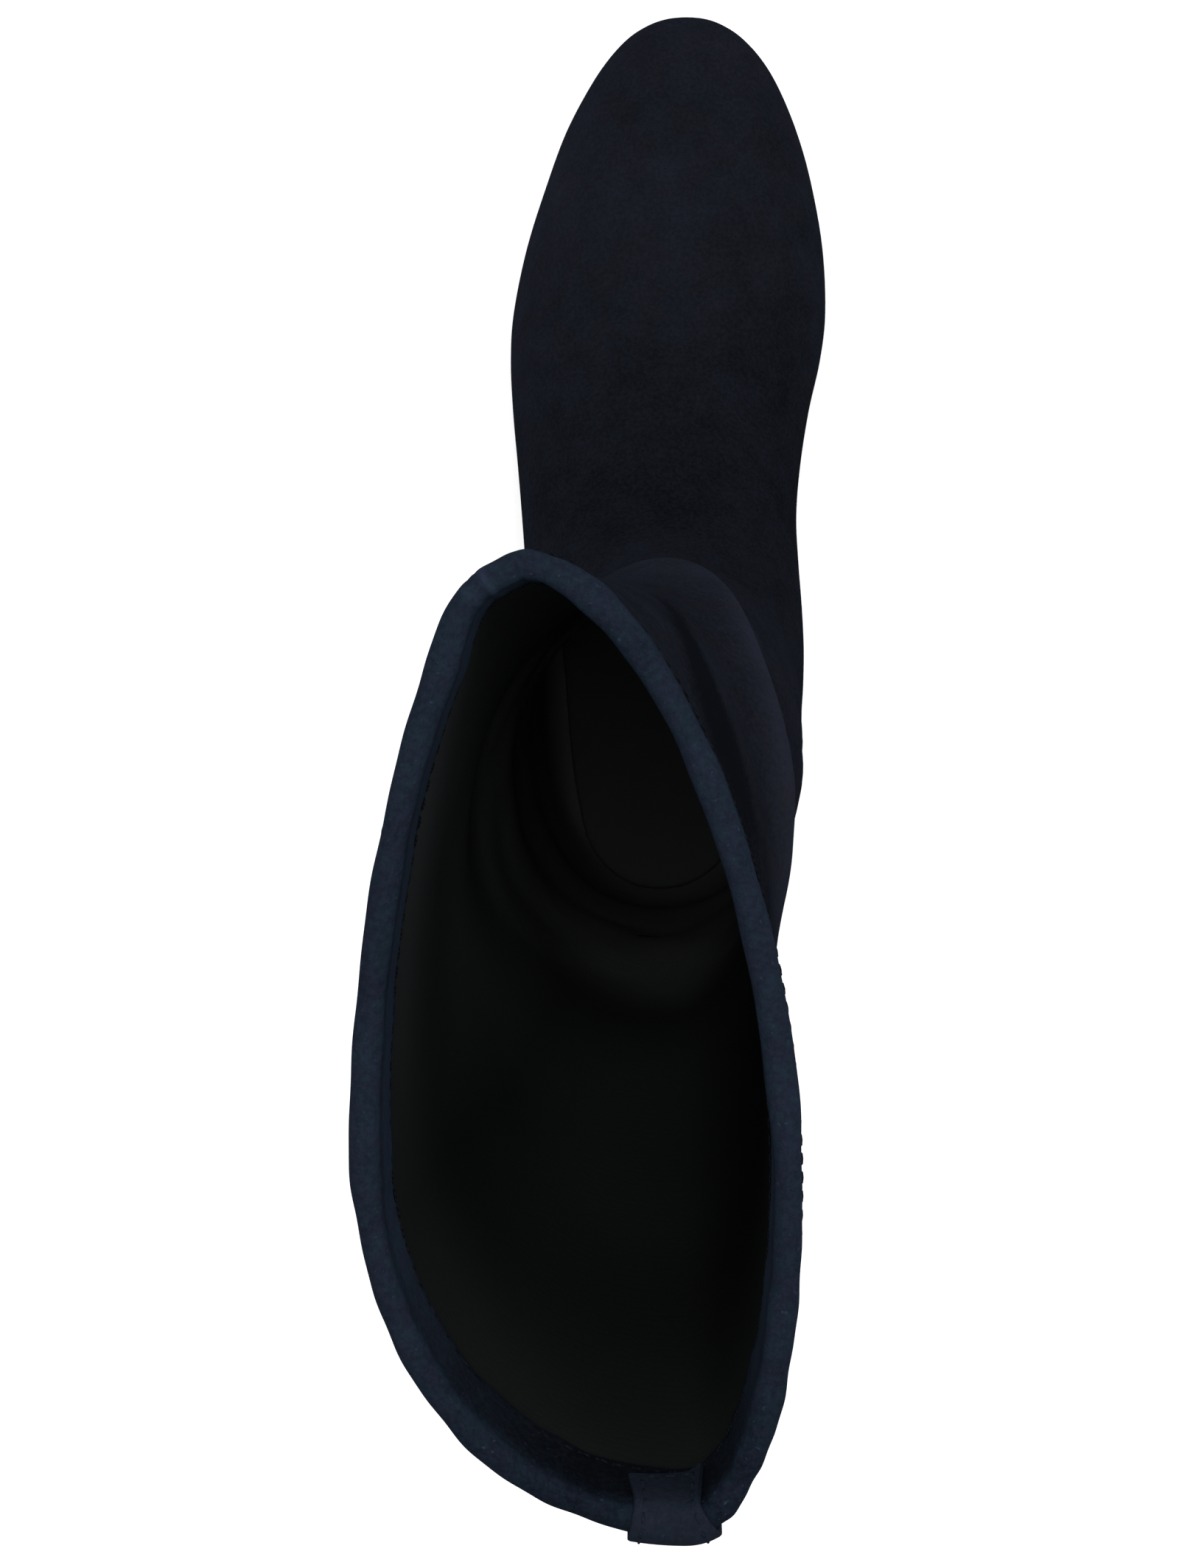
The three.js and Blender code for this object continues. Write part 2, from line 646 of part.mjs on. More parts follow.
// A line of points that runs over the collar at a distance from the wall: up the outside from one
// depth, round the top and down the inside to another
function overCollar(a, outside, inside, away) {
  const line = [beside(a, outside, away)];
  const radius = WALL / 2 + away;
  for (let i = 0; i <= ROLL_PARTS; i++) {
    const turn = (Math.PI * i) / ROLL_PARTS;
    line.push(beside(a, -radius * Math.sin(turn), -WALL / 2 + radius * Math.cos(turn)));
  }
  line.push(beside(a, inside, -WALL - away));
  return line;
}

// Suede turned over the collar all round
function makeBinding() {
  const rings = [];
  for (let k = 0; k < AROUND; k++) {
    const a = (k / AROUND) * 2 * Math.PI;
    const over = overCollar(a, BINDING_OUTSIDE, BINDING_INSIDE, GAP + BINDING_THICKNESS);
    const under = overCollar(a, BINDING_OUTSIDE, BINDING_INSIDE, GAP);
    rings.push([...over, ...under.reverse()]);
  }
  const count = rings[0].length;
  const faces = [];
  rings.forEach((_, i) => {
    const j = (i + 1) % rings.length;
    for (let k = 0; k < count; k++) {
      const next = (k + 1) % count;
      faces.push([i * count + k, i * count + next, j * count + next]);
      faces.push([i * count + k, j * count + next, j * count + k]);
    }
  });
  return solid(geometryOf(rings.flat(), faces));
}

// The angle round the collar, near the back, where the skin lies at a side shift from the back seam
function backAngle(shift) {
  const seam = skin(LAST, Math.PI).x;
  let low = Math.PI / 2;
  let high = (3 * Math.PI) / 2;
  for (let i = 0; i < 40; i++) {
    const middle = (low + high) / 2;
    if (skin(LAST, middle).x - seam > shift) low = middle;
    else high = middle;
  }
  return (low + high) / 2;
}

// Suede tab folded over the binding at the back
function makeBackTab() {
  const layers = [];
  for (let i = 0; i <= TAB_STATIONS; i++) {
    const a = backAngle(TAB_SHIFT + TAB_WIDTH * (0.5 - i / TAB_STATIONS));
    const under = 2 * GAP + BINDING_THICKNESS;
    layers.push({
      a: overCollar(a, TAB_OUTSIDE, TAB_INSIDE, under + TAB_THICKNESS),
      b: overCollar(a, TAB_OUTSIDE, TAB_INSIDE, under),
    });
  }
  return ribbons(layers);
}

function piece(name, made, finish) {
  const mesh = made.getMesh();
  const geometry = new THREE.BufferGeometry();
  geometry.setAttribute("position", new THREE.BufferAttribute(mesh.vertProperties, 3));
  geometry.setIndex(new THREE.BufferAttribute(mesh.triVerts, 1));
  geometry.computeVertexNormals();
  const shown = new THREE.Mesh(geometry, finish);
  shown.name = name;
  return shown;
}

const matt = (color, roughness) =>
  new THREE.MeshStandardMaterial({ color, roughness, metalness: 0 });

const boot = new THREE.Group();
boot.add(
  piece("outsole", makeOutsole(), matt(0x101012, 0.7)),
  piece("insole", makeInsole(), matt(0x15130f, 0.9)),
  piece("heel_block", makeHeel(), matt(0x121722, 0.95)),
  piece("top_lift", makeTopLift(), matt(0x0c0c0d, 0.8)),
  piece("upper", makeUpper(), matt(0x161c2b, 0.95)),
  piece("collar_binding", makeBinding(), matt(0x1d2e45, 0.95)),
  piece("back_tab", makeBackTab(), matt(0x1b2637, 0.95)),
);

export default boot;
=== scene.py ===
# Looks of a woman's knee-high suede boot for the left foot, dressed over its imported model.
# Tables and shapes are in millimetres, and become metres when a piece is made.
import math

import bmesh
import bpy
import numpy as np
from mathutils import Matrix, Vector


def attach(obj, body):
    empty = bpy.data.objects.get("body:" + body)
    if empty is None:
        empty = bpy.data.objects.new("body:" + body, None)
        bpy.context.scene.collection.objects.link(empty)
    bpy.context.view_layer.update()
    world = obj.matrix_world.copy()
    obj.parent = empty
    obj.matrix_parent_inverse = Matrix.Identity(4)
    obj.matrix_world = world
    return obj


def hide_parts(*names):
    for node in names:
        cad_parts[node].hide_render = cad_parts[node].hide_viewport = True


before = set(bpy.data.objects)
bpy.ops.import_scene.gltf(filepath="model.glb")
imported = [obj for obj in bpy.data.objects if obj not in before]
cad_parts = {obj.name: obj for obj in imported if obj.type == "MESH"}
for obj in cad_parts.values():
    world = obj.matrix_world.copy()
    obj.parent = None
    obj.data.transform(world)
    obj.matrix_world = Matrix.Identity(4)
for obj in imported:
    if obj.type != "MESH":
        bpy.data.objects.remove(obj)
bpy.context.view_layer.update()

# Driving sizes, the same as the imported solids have
FOOT_LENGTH = 250.0
BALL_WIDTH = 92.0
INSTEP_HEIGHT = 75.0
SEAT_HEIGHT = 45.0
TOE_SPRING = 9.0
ANKLE_HEIGHT = 160.0
SHAFT_HEIGHT = 410.0
ANKLE_LENGTH = 89.0
COLLAR_LENGTH = 156.5
COLLAR_WIDTH = 69.0
WALL = 2.2
GAP = 0.3
SOLE_THICKNESS = 5.0
SEAT_THICKNESS = 3.5
SOLE_MARGIN = 0.8
SOLE_BEVEL = 1.4
INSOLE_THICKNESS = 3.0
LIFT_THICKNESS = 6.0
LIFT_LENGTH = 48.0
LIFT_WIDTH = 52.0
HEEL_INSET = 1.0
HEEL_RAKE = 4.0
HEEL_BREAST = 0.205
BINDING_THICKNESS = 1.0
BINDING_OUTSIDE = 6.0
BINDING_INSIDE = 13.0
TAB_WIDTH = 13.5
TAB_THICKNESS = 1.2
TAB_OUTSIDE = 24.0
TAB_INSIDE = 11.0
TAB_SHIFT = -2.0

# Sizes that only the looks have
SUEDE_THICKNESS = 1.2
LINING_GAP = 0.05

# Depths of the rows of stitches outside and inside, and shares of the tab's width for its long rows
BINDING_ROWS = (BINDING_OUTSIDE - 1.6, BINDING_INSIDE - 1.8)
TAB_ROWS = (TAB_OUTSIDE - 1.8, TAB_INSIDE - 1.6)
TAB_SEAMS = (0.13, 0.87)

# Points nearer than this count as one
SAME_PLACE = 0.05

# Edges of the flat pieces, as pairs of inset and depth below the top, or height above the floor
SOLE_EDGE = [(1.2, 0), (0.35, 0), (0.05, 0.3), (0, 0.9), (0.25, 1.15), (0, 1.4)]
SOLE_FOOT = [(0, SOLE_BEVEL), (0.45, 0.5), (SOLE_BEVEL, 0)]
INSOLE_EDGE = [(1.2, 0), (0.4, 0.25), (0, 1)]
LIFT_EDGE = [(0.3, LIFT_THICKNESS), (0, LIFT_THICKNESS - 0.3), (0, 0.6), (0.6, 0)]

# With a power below 1 the heel narrows sooner near the seat
HEEL_LAYERS = 26
HEEL_TAPER = 0.75

# A crease wanders by a share of the leg's height. Its lips lie this many times its half width away,
# and are as high as a share of its depth.
CREASE_WANDER = 0.012
LIP_PLACE = 1.9
LIP_HEIGHT = 0.5

# Form of a stitch along its length, as shares of its length and of its thread
STITCH_ALONG = np.array([0, 0.12, 0.5, 0.88, 1.0])
STITCH_LIFT = np.array([-0.55, 0.05, 0.3, 0.05, -0.55])
STITCH_WIDE = np.array([0.45, 0.9, 1.0, 0.9, 0.45])

# Degrees round the collar, from the front, of the crease in the binding
COLLAR_CREASE = 343

LEG_HEIGHT = SHAFT_HEIGHT - ANKLE_HEIGHT
HEEL_MIDDLE = HEEL_RAKE + LIFT_LENGTH / 2
INNER_SIDE = 1
OUTER_SIDE = -1


def read_table(text):
    """A line of column names, then a line of numbers for each row."""
    names, *rows = [line.split() for line in text.strip().splitlines()]
    return {name: np.array([float(row[i]) for row in rows]) for i, name in enumerate(names)}


def ramp(value, start, end):
    """0 at start, 1 at end, and straight between them."""
    return np.clip((value - start) / (end - start), 0, 1)


# Bed of the sole, from the back of the heel to the toe
BED = read_table("""
    along  rise spring thick
     -0.1  1.03      0     0
        0     1      0     0
     0.12 0.955      0     0
     0.24  0.87      0     0
     0.33  0.72      0     0
     0.42  0.49      0   0.1
      0.5  0.27      0   0.4
     0.57  0.11      0   0.8
     0.63 0.025      0     1
     0.68     0      0     1
     0.77     0      0     1
     0.84     0   0.12     1
     0.92     0   0.46     1
        1     0      1     1
      1.1     0    1.7     1
""")

# Sections of the foot from the toe to the ankle, as shares of the foot's length and the ball's width
FOOT_SECTIONS = read_table("""
     front frontUp   back backUp inner  outer ridge  keel wide round inTuck outTuck parts
         1    0.12      1   0.11 0.083 -0.077  0.08  0.08  0.5     2    2.2     2.2     6
    0.9975     0.2 0.9975   0.01 0.151  -0.01  0.08  0.08  0.5   2.1    2.4     2.4     6
      0.99   0.265   0.99  -0.08 0.206  0.048 0.078 0.078  0.5   2.2    2.8     2.8     6
     0.976    0.33  0.976  -0.13 0.262  0.106 0.074 0.074 0.49  2.25    3.2     3.2     6
     0.952   0.405  0.952  -0.15 0.322  0.167  0.07  0.07 0.46   2.3    3.5     3.5     6
      0.92   0.485   0.92  -0.16 0.375  0.226 0.065  0.06 0.43   2.3    3.6     3.6     6
     0.873    0.58  0.873  -0.16  0.43  0.295  0.06  0.05 0.39  2.25    3.6     3.6     6
     0.817   0.665  0.817  -0.16 0.476  0.354 0.055  0.04 0.35   2.2    3.6     3.6     6
     0.742   0.745  0.742  -0.16 0.514   0.42 0.045  0.03 0.33  2.15    3.6     3.6     6
     0.667   0.825  0.667  -0.16 0.524  0.462 0.035  0.02 0.32   2.1    3.8     3.8     6
     0.611    0.89  0.611  -0.16 0.506   0.47 0.028  0.01 0.32  2.05    3.4     3.8     6
     0.556   0.955   0.55  -0.16 0.468   0.46  0.02     0 0.33     2    2.9    3.45     6
     0.504    1.02   0.48  -0.16 0.437   0.44 0.012 -0.02 0.36     2    2.4     3.2     6
     0.464    1.08   0.41  -0.16  0.42  0.422 0.008 -0.03  0.4     2    2.1       3     6
     0.436    1.17   0.33  -0.16  0.42  0.405 0.004 -0.03 0.46     2    2.2     3.1     8
     0.417    1.28   0.24  -0.16 0.424   0.39     0 -0.01 0.51     2    2.6     3.1     8
     0.404     1.4   0.15  -0.16 0.425   0.38     0     0 0.54     2    2.9     3.1     8
     0.396    1.51   0.07  -0.16  0.42  0.372     0     0 0.56     2    2.7     2.8     8
     0.391    1.62   0.01  -0.13 0.412   0.37     0     0 0.57     2    2.2     2.3     8
     0.388    1.74  -0.01    0.2 0.403  0.372     0     0 0.56     2    2.1     2.1     8
     0.386    1.88 -0.005   0.56 0.392  0.376     0     0 0.54     2    2.1     2.1     9
""")

# Sections of the leg from above the heel to the collar
LEG_SECTIONS = read_table("""
    level  tilt front grow inner outer  ridge  keel wideIn wideOut frontIn frontOut backIn backOut parts
     0.13   0.3 0.385 0.03  0.51 0.504      0     0   0.52    0.52       2        2    2.1     2.1    10
      0.2  0.24 0.385    0 0.472 0.525  -0.02     0    0.5     0.5       2        2    2.1     2.1    11
     0.28  0.18 0.386 0.02 0.428 0.554 -0.045  0.01   0.49    0.49       2        2    2.1     2.1    12
     0.37  0.12 0.389 0.12 0.384 0.583 -0.077  0.02   0.47    0.48       2     1.97    2.1     2.1    12
     0.47  0.07 0.394  0.3  0.35 0.609 -0.117  0.03   0.44    0.46    1.93     1.94    2.1     2.1    12
     0.59 0.035 0.402  0.5 0.326 0.632  -0.17  0.04   0.41    0.45    1.87     1.91   2.15     2.1    11
     0.72 0.015 0.411 0.71 0.312 0.655 -0.225  0.05  0.385    0.43    1.83     1.88    2.2     2.1    10
     0.86     0 0.421 0.88 0.308 0.681 -0.275 0.055  0.367   0.415     1.8     1.85    2.2     2.1    12
        1     0 0.431    1  0.31 0.702  -0.31 0.055  0.355     0.4    1.77     1.81    2.2    2.07     1
""")

# Folds of the soft leg, as the solids have them, as shares of the leg's height and the ankle's length
FOLDS = read_table("""
    level toward reach tilt swell tall
     0.02      0    75  0.1 -0.03 0.13
      0.1    100    80 0.12  0.02 0.12
      0.2    265    80  0.1 -0.03 0.14
     0.34    270    75 0.08 0.025 0.18
     0.12    180    50    0 -0.02 0.13
     0.24    180    60    0  0.02 0.15
        1    338    15    0 0.016  0.9
""")

# Long folds of the inner side, which climb as they run back. The rows of one fold follow each other by
# turn, in degrees. level and swell are as above, and above and below are the fold's half heights as
# shares of the ankle's length.
LONG_FOLDS = read_table("""
    fold turn level  swell above below
       1  -35   0.2      0  0.25  0.15
       1  -15  0.22  0.035  0.25  0.15
       1    5  0.25  0.066  0.25  0.15
       1   19   0.3  0.075  0.22  0.16
       1   30  0.36  0.076  0.18  0.16
       1   41  0.42  0.076  0.14  0.18
       1   52  0.46  0.076   0.1   0.2
       1   66  0.48  0.072  0.09  0.22
       1   80  0.49  0.045   0.1  0.24
       1   97  0.48   0.01   0.1  0.24
       1  120  0.46      0   0.1  0.24
       2    2   0.7      0   0.3  0.24
       2   14  0.71 -0.006   0.3  0.24
       2   30  0.73 -0.018   0.3  0.24
       2   52  0.74 -0.028   0.3  0.22
       2   72  0.73 -0.024   0.3  0.22
       2   96   0.7      0   0.3  0.22
       3   30     0      0  0.08  0.08
       3   45  0.12 -0.012  0.09   0.1
       3   58   0.2 -0.022   0.1   0.1
       3   72  0.24 -0.024   0.1  0.12
       3   90  0.22 -0.014   0.1  0.12
       3  115  0.18      0   0.1  0.12
""")

# Painted light and shade along those folds: tone lightens their lit ridges and darkens their shaded
# hollows. tone is added to the shade.
PAINTED_FOLD_LIGHT = read_table("""
    fold turn level tone above below
       1   -5  0.28    0  0.25   0.2
       1   12  0.32  0.1  0.25   0.2
       1   28  0.36  0.3  0.15   0.2
       1   45  0.43    1   0.1   0.2
       1   66  0.48  1.1   0.1   0.2
       1   85   0.5  0.7  0.11   0.2
       1  105   0.5    0  0.12   0.2
       2   14   0.5    0   0.1   0.1
       2   24  0.54 -0.8  0.12   0.1
       2   40  0.62 -1.2  0.18   0.1
       2   56  0.65 -0.8  0.24  0.12
       2   75  0.65 -0.3   0.3  0.16
       2  100  0.64    0   0.3   0.2
""")

# Finer creases in the suede. depth and half width are in millimetres, rise is how much higher the
# crease climbs from one end to the other, as a share of the leg's height.
CREASES = read_table("""
    level toward reach  rise depth half
     0.03     20    45  0.05   1.0  3.0
     0.07    340    50 -0.04   0.8  2.8
     0.08     75    45  0.05   0.9  3.4
     0.19    135    45 -0.05   1.0  3.4
     0.33    115    40  0.05   0.8  4.2
     0.13    300    55 -0.06   1.2  3.6
     0.24    240    50  0.06   1.1  3.8
     0.28    310    45 -0.05   0.8  4.0
     0.07    185    45  0.02   1.2  3.2
     0.17    200    40 -0.03   1.0  3.4
""")


def smooth_table(rows, key, column, x):
    """A smooth value through a table's rows that never swings past them."""
    at = rows[key]
    value = rows[column]
    slope = np.diff(value) / np.diff(at)
    before = slope[:-1]
    after = slope[1:]
    total = np.where(before + after == 0, 1, before + after)
    middle = np.where(before * after > 0, 2 * before * after / total, 0)
    tangent = np.concatenate([slope[:1], middle, slope[-1:]])
    x = np.clip(x, at[0], at[-1])
    i = np.clip(np.searchsorted(at, x) - 1, 0, len(at) - 2)
    span = at[i + 1] - at[i]
    t = (x - at[i]) / span
    rest = 1 - t
    start = value[i] * (1 + 2 * t) * rest**2 + tangent[i] * span * t * rest**2
    end = value[i + 1] * t**2 * (3 - 2 * t) - tangent[i + 1] * span * t**2 * rest
    return start + end


def y_of(along):
    return along * FOOT_LENGTH - HEEL_MIDDLE


def along_of(y):
    return (y + HEEL_MIDDLE) / FOOT_LENGTH


def bed(y):
    """Height of the sole's top at a place along the foot."""
    rise = smooth_table(BED, "along", "rise", along_of(y))
    spring = smooth_table(BED, "along", "spring", along_of(y))
    return SOLE_THICKNESS + (SEAT_HEIGHT - SOLE_THICKNESS) * rise + TOE_SPRING * spring


def sole_bottom(y):
    thick = smooth_table(BED, "along", "thick", along_of(y))
    return bed(y) - SEAT_THICKNESS - (SOLE_THICKNESS - SEAT_THICKNESS) * thick


def foot_sections(rows):
    front_y = y_of(rows["front"])
    back_y = y_of(rows["back"])
    return np.stack([
        front_y,
        bed(front_y) + rows["frontUp"] * INSTEP_HEIGHT,
        back_y,
        bed(back_y) + rows["backUp"] * INSTEP_HEIGHT,
        rows["inner"] * BALL_WIDTH,
        -rows["outer"] * BALL_WIDTH,
        rows["ridge"] * BALL_WIDTH,
        rows["keel"] * BALL_WIDTH,
        rows["wide"],
        rows["wide"],
        rows["round"],
        rows["round"],
        rows["inTuck"],
        rows["outTuck"],
    ], axis=1)


def leg_sections(rows):
    front_y = y_of(rows["front"])
    front_z = ANKLE_HEIGHT + rows["level"] * LEG_HEIGHT
    return np.stack([
        front_y,
        front_z,
        front_y - ANKLE_LENGTH - (COLLAR_LENGTH - ANKLE_LENGTH) * rows["grow"],
        front_z - rows["tilt"] * LEG_HEIGHT,
        rows["inner"] * COLLAR_WIDTH,
        -rows["outer"] * COLLAR_WIDTH,
        rows["ridge"] * COLLAR_WIDTH,
        rows["keel"] * COLLAR_WIDTH,
        rows["wideIn"],
        rows["wideOut"],
        rows["frontIn"],
        rows["frontOut"],
        rows["backIn"],
        rows["backOut"],
    ], axis=1)


SECTIONS = np.concatenate([foot_sections(FOOT_SECTIONS), leg_sections(LEG_SECTIONS)])
PARTS = np.concatenate([FOOT_SECTIONS["parts"], LEG_SECTIONS["parts"]]).astype(int)
COLLAR = len(SECTIONS) - 1

# Rows of the skin between which it meets the sole, and a turn at which it is still above the sole
FIRST_SOLE_ROW = 0.95
LAST_SOLE_ROW = 19.5
SIDE_TURN = math.radians(70)


def section_at(s):
    i = np.clip(np.floor(s).astype(int), 0, COLLAR - 1)
    t = (s - i)[..., None]
    a, b, c, d = [SECTIONS[np.clip(i + step, 0, COLLAR)] for step in (-1, 0, 1, 2)]
    return b + 0.5 * t * (c - a + t * (2 * a - 5 * b + 4 * c - d + t * (3 * (b - c) + d - a)))


def smooth_skin(s, a):
    """Points of the boot's smooth skin: s runs from the toe to the collar, and a, the turn round a
    section, is 0 at the front, a quarter turn at the inner side and half a turn at the back."""
    row = section_at(s)
    front_y, front_z, back_y, back_z, inner, outer, ridge, keel = [row[..., i] for i in range(8)]
    wide_in, wide_out, front_in, front_out, back_in, back_out = [row[..., i] for i in range(8, 14)]
    sin = np.sin(a)
    cos = np.cos(a)
    inside = sin >= 0
    ahead = cos >= 0
    power = np.where(inside, np.where(ahead, front_in, back_in), np.where(ahead, front_out, back_out))
    side = np.abs(sin) ** (2 / power)
    run = np.abs(cos) ** (2 / power)
    wide = np.where(inside, wide_in, wide_out)
    v = np.where(ahead, wide + (1 - wide) * run, wide * (1 - run))
    tip = np.where(ahead, ridge, keel)
    x = tip + (np.where(inside, inner, outer) - tip) * side
    return np.stack([x, back_y + (front_y - back_y) * v, back_z + (front_z - back_z) * v], axis=-1)


def outward(surface, s, a):
    """Outward direction of a surface given by a function of s and a."""
    ds = 0.02
    da = 0.01
    along = surface(np.minimum(s + ds, COLLAR), a) - surface(np.maximum(s - ds, 0), a)
    around = surface(s, a + da) - surface(s, a - da)
    normal = np.cross(along, around)
    normal /= np.maximum(np.linalg.norm(normal, axis=-1, keepdims=True), 1e-12)
    return np.where((s < ds)[..., None], np.array([0.0, 1.0, 0.0]), normal)


def turned(a, toward):
    """Degrees from a compass place, between -180 and 180."""
    return (np.degrees(a) - toward + 540) % 360 - 180


def along_folds(table, column, point, a):
    """A value that follows long folds, summed over the folds of a table."""
    turn = turned(a, 0)
    total = np.zeros(a.shape)
    for fold in np.unique(table["fold"]):
        chosen = table["fold"] == fold
        rows = {name: values[chosen] for name, values in table.items()}
        level, size, high, low = [
            smooth_table(rows, "turn", name, turn) for name in ("level", column, "above", "below")
        ]
        above = point[..., 2] - ANKLE_HEIGHT - level * LEG_HEIGHT
        above /= np.where(above > 0, high, low) * ANKLE_LENGTH
        total += size * np.exp(-(above**2))
    return total


def fold_swell(point, a):
    swell = np.zeros(a.shape)
    ahead = (1 + np.cos(a)) / 2
    for level, toward, reach, tilt, size, tall in zip(*FOLDS.values()):
        away = np.clip(np.abs(turned(a, toward)) / reach, 0, 1)
        middle = ANKLE_HEIGHT + (level - tilt * (0.5 - ahead) * 2) * LEG_HEIGHT
        above = (point[..., 2] - middle) / (tall * ANKLE_LENGTH)
        swell += size * ANKLE_LENGTH * np.cos(away * math.pi / 2) ** 2 * np.exp(-(above**2))
    return swell + ANKLE_LENGTH * along_folds(LONG_FOLDS, "swell", point, a)


def crease_swell(point, a):
    """Fine creases, each a trough with a raised lip on both sides."""
    swell = np.zeros(a.shape)
    for level, toward, reach, rise, depth, half in zip(*CREASES.values()):
        turn = turned(a, toward) / reach
        away = np.clip(np.abs(turn), 0, 1)
        wave = CREASE_WANDER * np.sin(turn * 4 + toward)
        middle = ANKLE_HEIGHT + (level + rise * turn + wave) * LEG_HEIGHT
        above = (point[..., 2] - middle) / half
        lips = LIP_HEIGHT * np.exp(-((np.abs(above) - LIP_PLACE) ** 2))
        shape = lips - np.exp(-(above**2))
        swell += depth * np.cos(away * math.pi / 2) ** 2 * shape
    return swell


def skin(s, a):
    """The skin with its main folds, as the solids have it."""
    point = smooth_skin(s, a)
    return point + outward(smooth_skin, s, a) * fold_swell(point, a)[..., None]


def worn_skin(s, a):
    """The skin with its main folds and its fine creases."""
    point = smooth_skin(s, a)
    swell = fold_swell(point, a) + crease_swell(point, a)
    return point + outward(smooth_skin, s, a) * swell[..., None]


def off_skin(s, a, out, surface=skin):
    """Points at a distance out from a surface."""
    s, a = np.broadcast_arrays(np.asarray(s, float), np.asarray(a, float))
    return surface(s, a) + outward(surface, s, a) * np.asarray(out)[..., None]


# Shader nodes written as expressions

class Wire:
    """A socket of a finish, with the arithmetic that is used on it."""

    def __init__(self, finish, socket):
        self.finish = finish
        self.socket = socket

    def math(self, operation, *values, clamp=False):
        settings = {"operation": operation, "use_clamp": clamp}
        return self.finish.add("ShaderNodeMath", settings, dict(enumerate(values)))

    def __add__(self, other):
        return self.math("ADD", self, other)

    def __radd__(self, other):
        return self.math("ADD", other, self)

    def __sub__(self, other):
        return self.math("SUBTRACT", self, other)

    def __rsub__(self, other):
        return self.math("SUBTRACT", other, self)

    def __mul__(self, other):
        return self.math("MULTIPLY", self, other)

    def __rmul__(self, other):
        return self.math("MULTIPLY", other, self)

    def clamped(self):
        return self.math("ADD", self, 0.0, clamp=True)

    def between(self, low, high):
        """0 below low, 1 above high, and smooth between them."""
        settings = {"interpolation_type": "SMOOTHSTEP"}
        values = {"Value": self, "From Min": low, "From Max": high}
        return self.finish.add("ShaderNodeMapRange", settings, values)


class Finish:
    """A material made of nodes."""

    def __init__(self, name):
        self.material = bpy.data.materials.new(name)
        self.material.use_nodes = True
        self.material.node_tree.nodes.clear()

    def add(self, kind, settings=None, values=None, output=0):
        """A node of a type: its settings first, then the values or links of its sockets."""
        node = self.material.node_tree.nodes.new(kind)
        for key, value in (settings or {}).items():
            setattr(node, key, value)
        for key, value in (values or {}).items():
            socket = node.inputs[key]
            if isinstance(value, Wire):
                self.material.node_tree.links.new(value.socket, socket)
            else:
                socket.default_value = value
        return Wire(self, node.outputs[output]) if node.outputs else node

    def place(self):
        return self.add("ShaderNodeTexCoord", output="Object")

    def noise(self, place, size, detail=2.0, roughness=0.5):
        """Noise whose lumps are about size millimetres across."""
        values = {"Vector": place, "Scale": 1000 / size, "Detail": detail, "Roughness": roughness}
        return self.add("ShaderNodeTexNoise", None, values)

    def stretched(self, place, along):
        values = {0: place, 1: along}
        return self.add("ShaderNodeVectorMath", {"operation": "MULTIPLY"}, values)

    def mark(self, name):
        """A number kept on the mesh, such as the painted light and shade."""
        return self.add("ShaderNodeAttribute", {"attribute_name": name}, output="Fac")

    def blend(self, share, a, b, how="MIX"):
        """Colour a where share is 0, and b, or a times b, where it is 1."""
        settings = {"data_type": "RGBA", "blend_type": how}
        return self.add("ShaderNodeMix", settings, {0: share, 6: a, 7: b}, output=2)

    def bump(self, height, depth, strength=1.0, under=None):
        """Relief of a depth in millimetres."""
        values = {"Height": height, "Distance": depth / 1000, "Strength": strength}
        if under is not None:
            values["Normal"] = under
        return self.add("ShaderNodeBump", None, values)

    def surface(self, **values):
        """The principled shader, its sockets named with _ for a space."""
        named = {key.replace("_", " "): value for key, value in values.items()}
        shader = self.add("ShaderNodeBsdfPrincipled", None, named)
        self.add("ShaderNodeOutputMaterial", None, {"Surface": shader})
        return self.material


def colour(red, green, blue):
    return (red, green, blue, 1.0)


def suede_finish(name, deep, raised, warm, sheen, specks, hue_size):
    """Brushed suede: clouds of nap lying one way or the other, short fibres and light specks of lint,
    with painted light and shade from a mark: painted highlights on ridges and tops, painted shade in
    hollows. The raised nap is bluer or warmer from place to place, and all of it is greyer where the
    mark says so."""
    finish = Finish(name)
    place = finish.place()
    clouds = finish.noise(place, 45, 3).between(0.3, 0.7)
    patches = finish.noise(place, 9, 3, 0.6)
    fibres = finish.noise(place, 1.1, 3, 0.7)
    flecks = finish.noise(place, 0.45, 2, 0.6)
    lint = finish.noise(place, 0.9, 1).between(0.7, 0.8)
    hue = finish.noise(place, hue_size, 3, 0.6).between(0.42, 0.58)
    painted_shading = finish.mark("painted_shading")
    short = fibres.between(0.32, 0.68)
    tone = 0.14 * clouds + 0.4 * patches + 0.24 * short + 0.3 * flecks - 0.17
    # The mark paints light and shade into the tone: lighter where light falls on ridges and tops,
    # darker where shade lies
    shade = (tone + 0.55 * painted_shading + specks * lint).clamped()
    nap = 0.6 * fibres + 0.4 * flecks
    relief = finish.bump(nap, 0.25, 0.7)
    lumps = finish.bump(patches, 0.5, 0.35, relief)
    high = finish.blend(hue, colour(*raised), colour(*warm))
    navy = finish.blend(shade, colour(*deep), high)
    return finish.surface(
        Base_Color=finish.blend(finish.mark("grey"), navy, colour(0.86, 0.75, 0.65), "MULTIPLY"),
        Roughness=0.93 + 0.05 * fibres,
        Specular_IOR_Level=0.0,
        Sheen_Weight=sheen,
        Sheen_Roughness=0.5,
        Sheen_Tint=colour(0.45, 0.62, 0.95),
        Normal=lumps,
    )


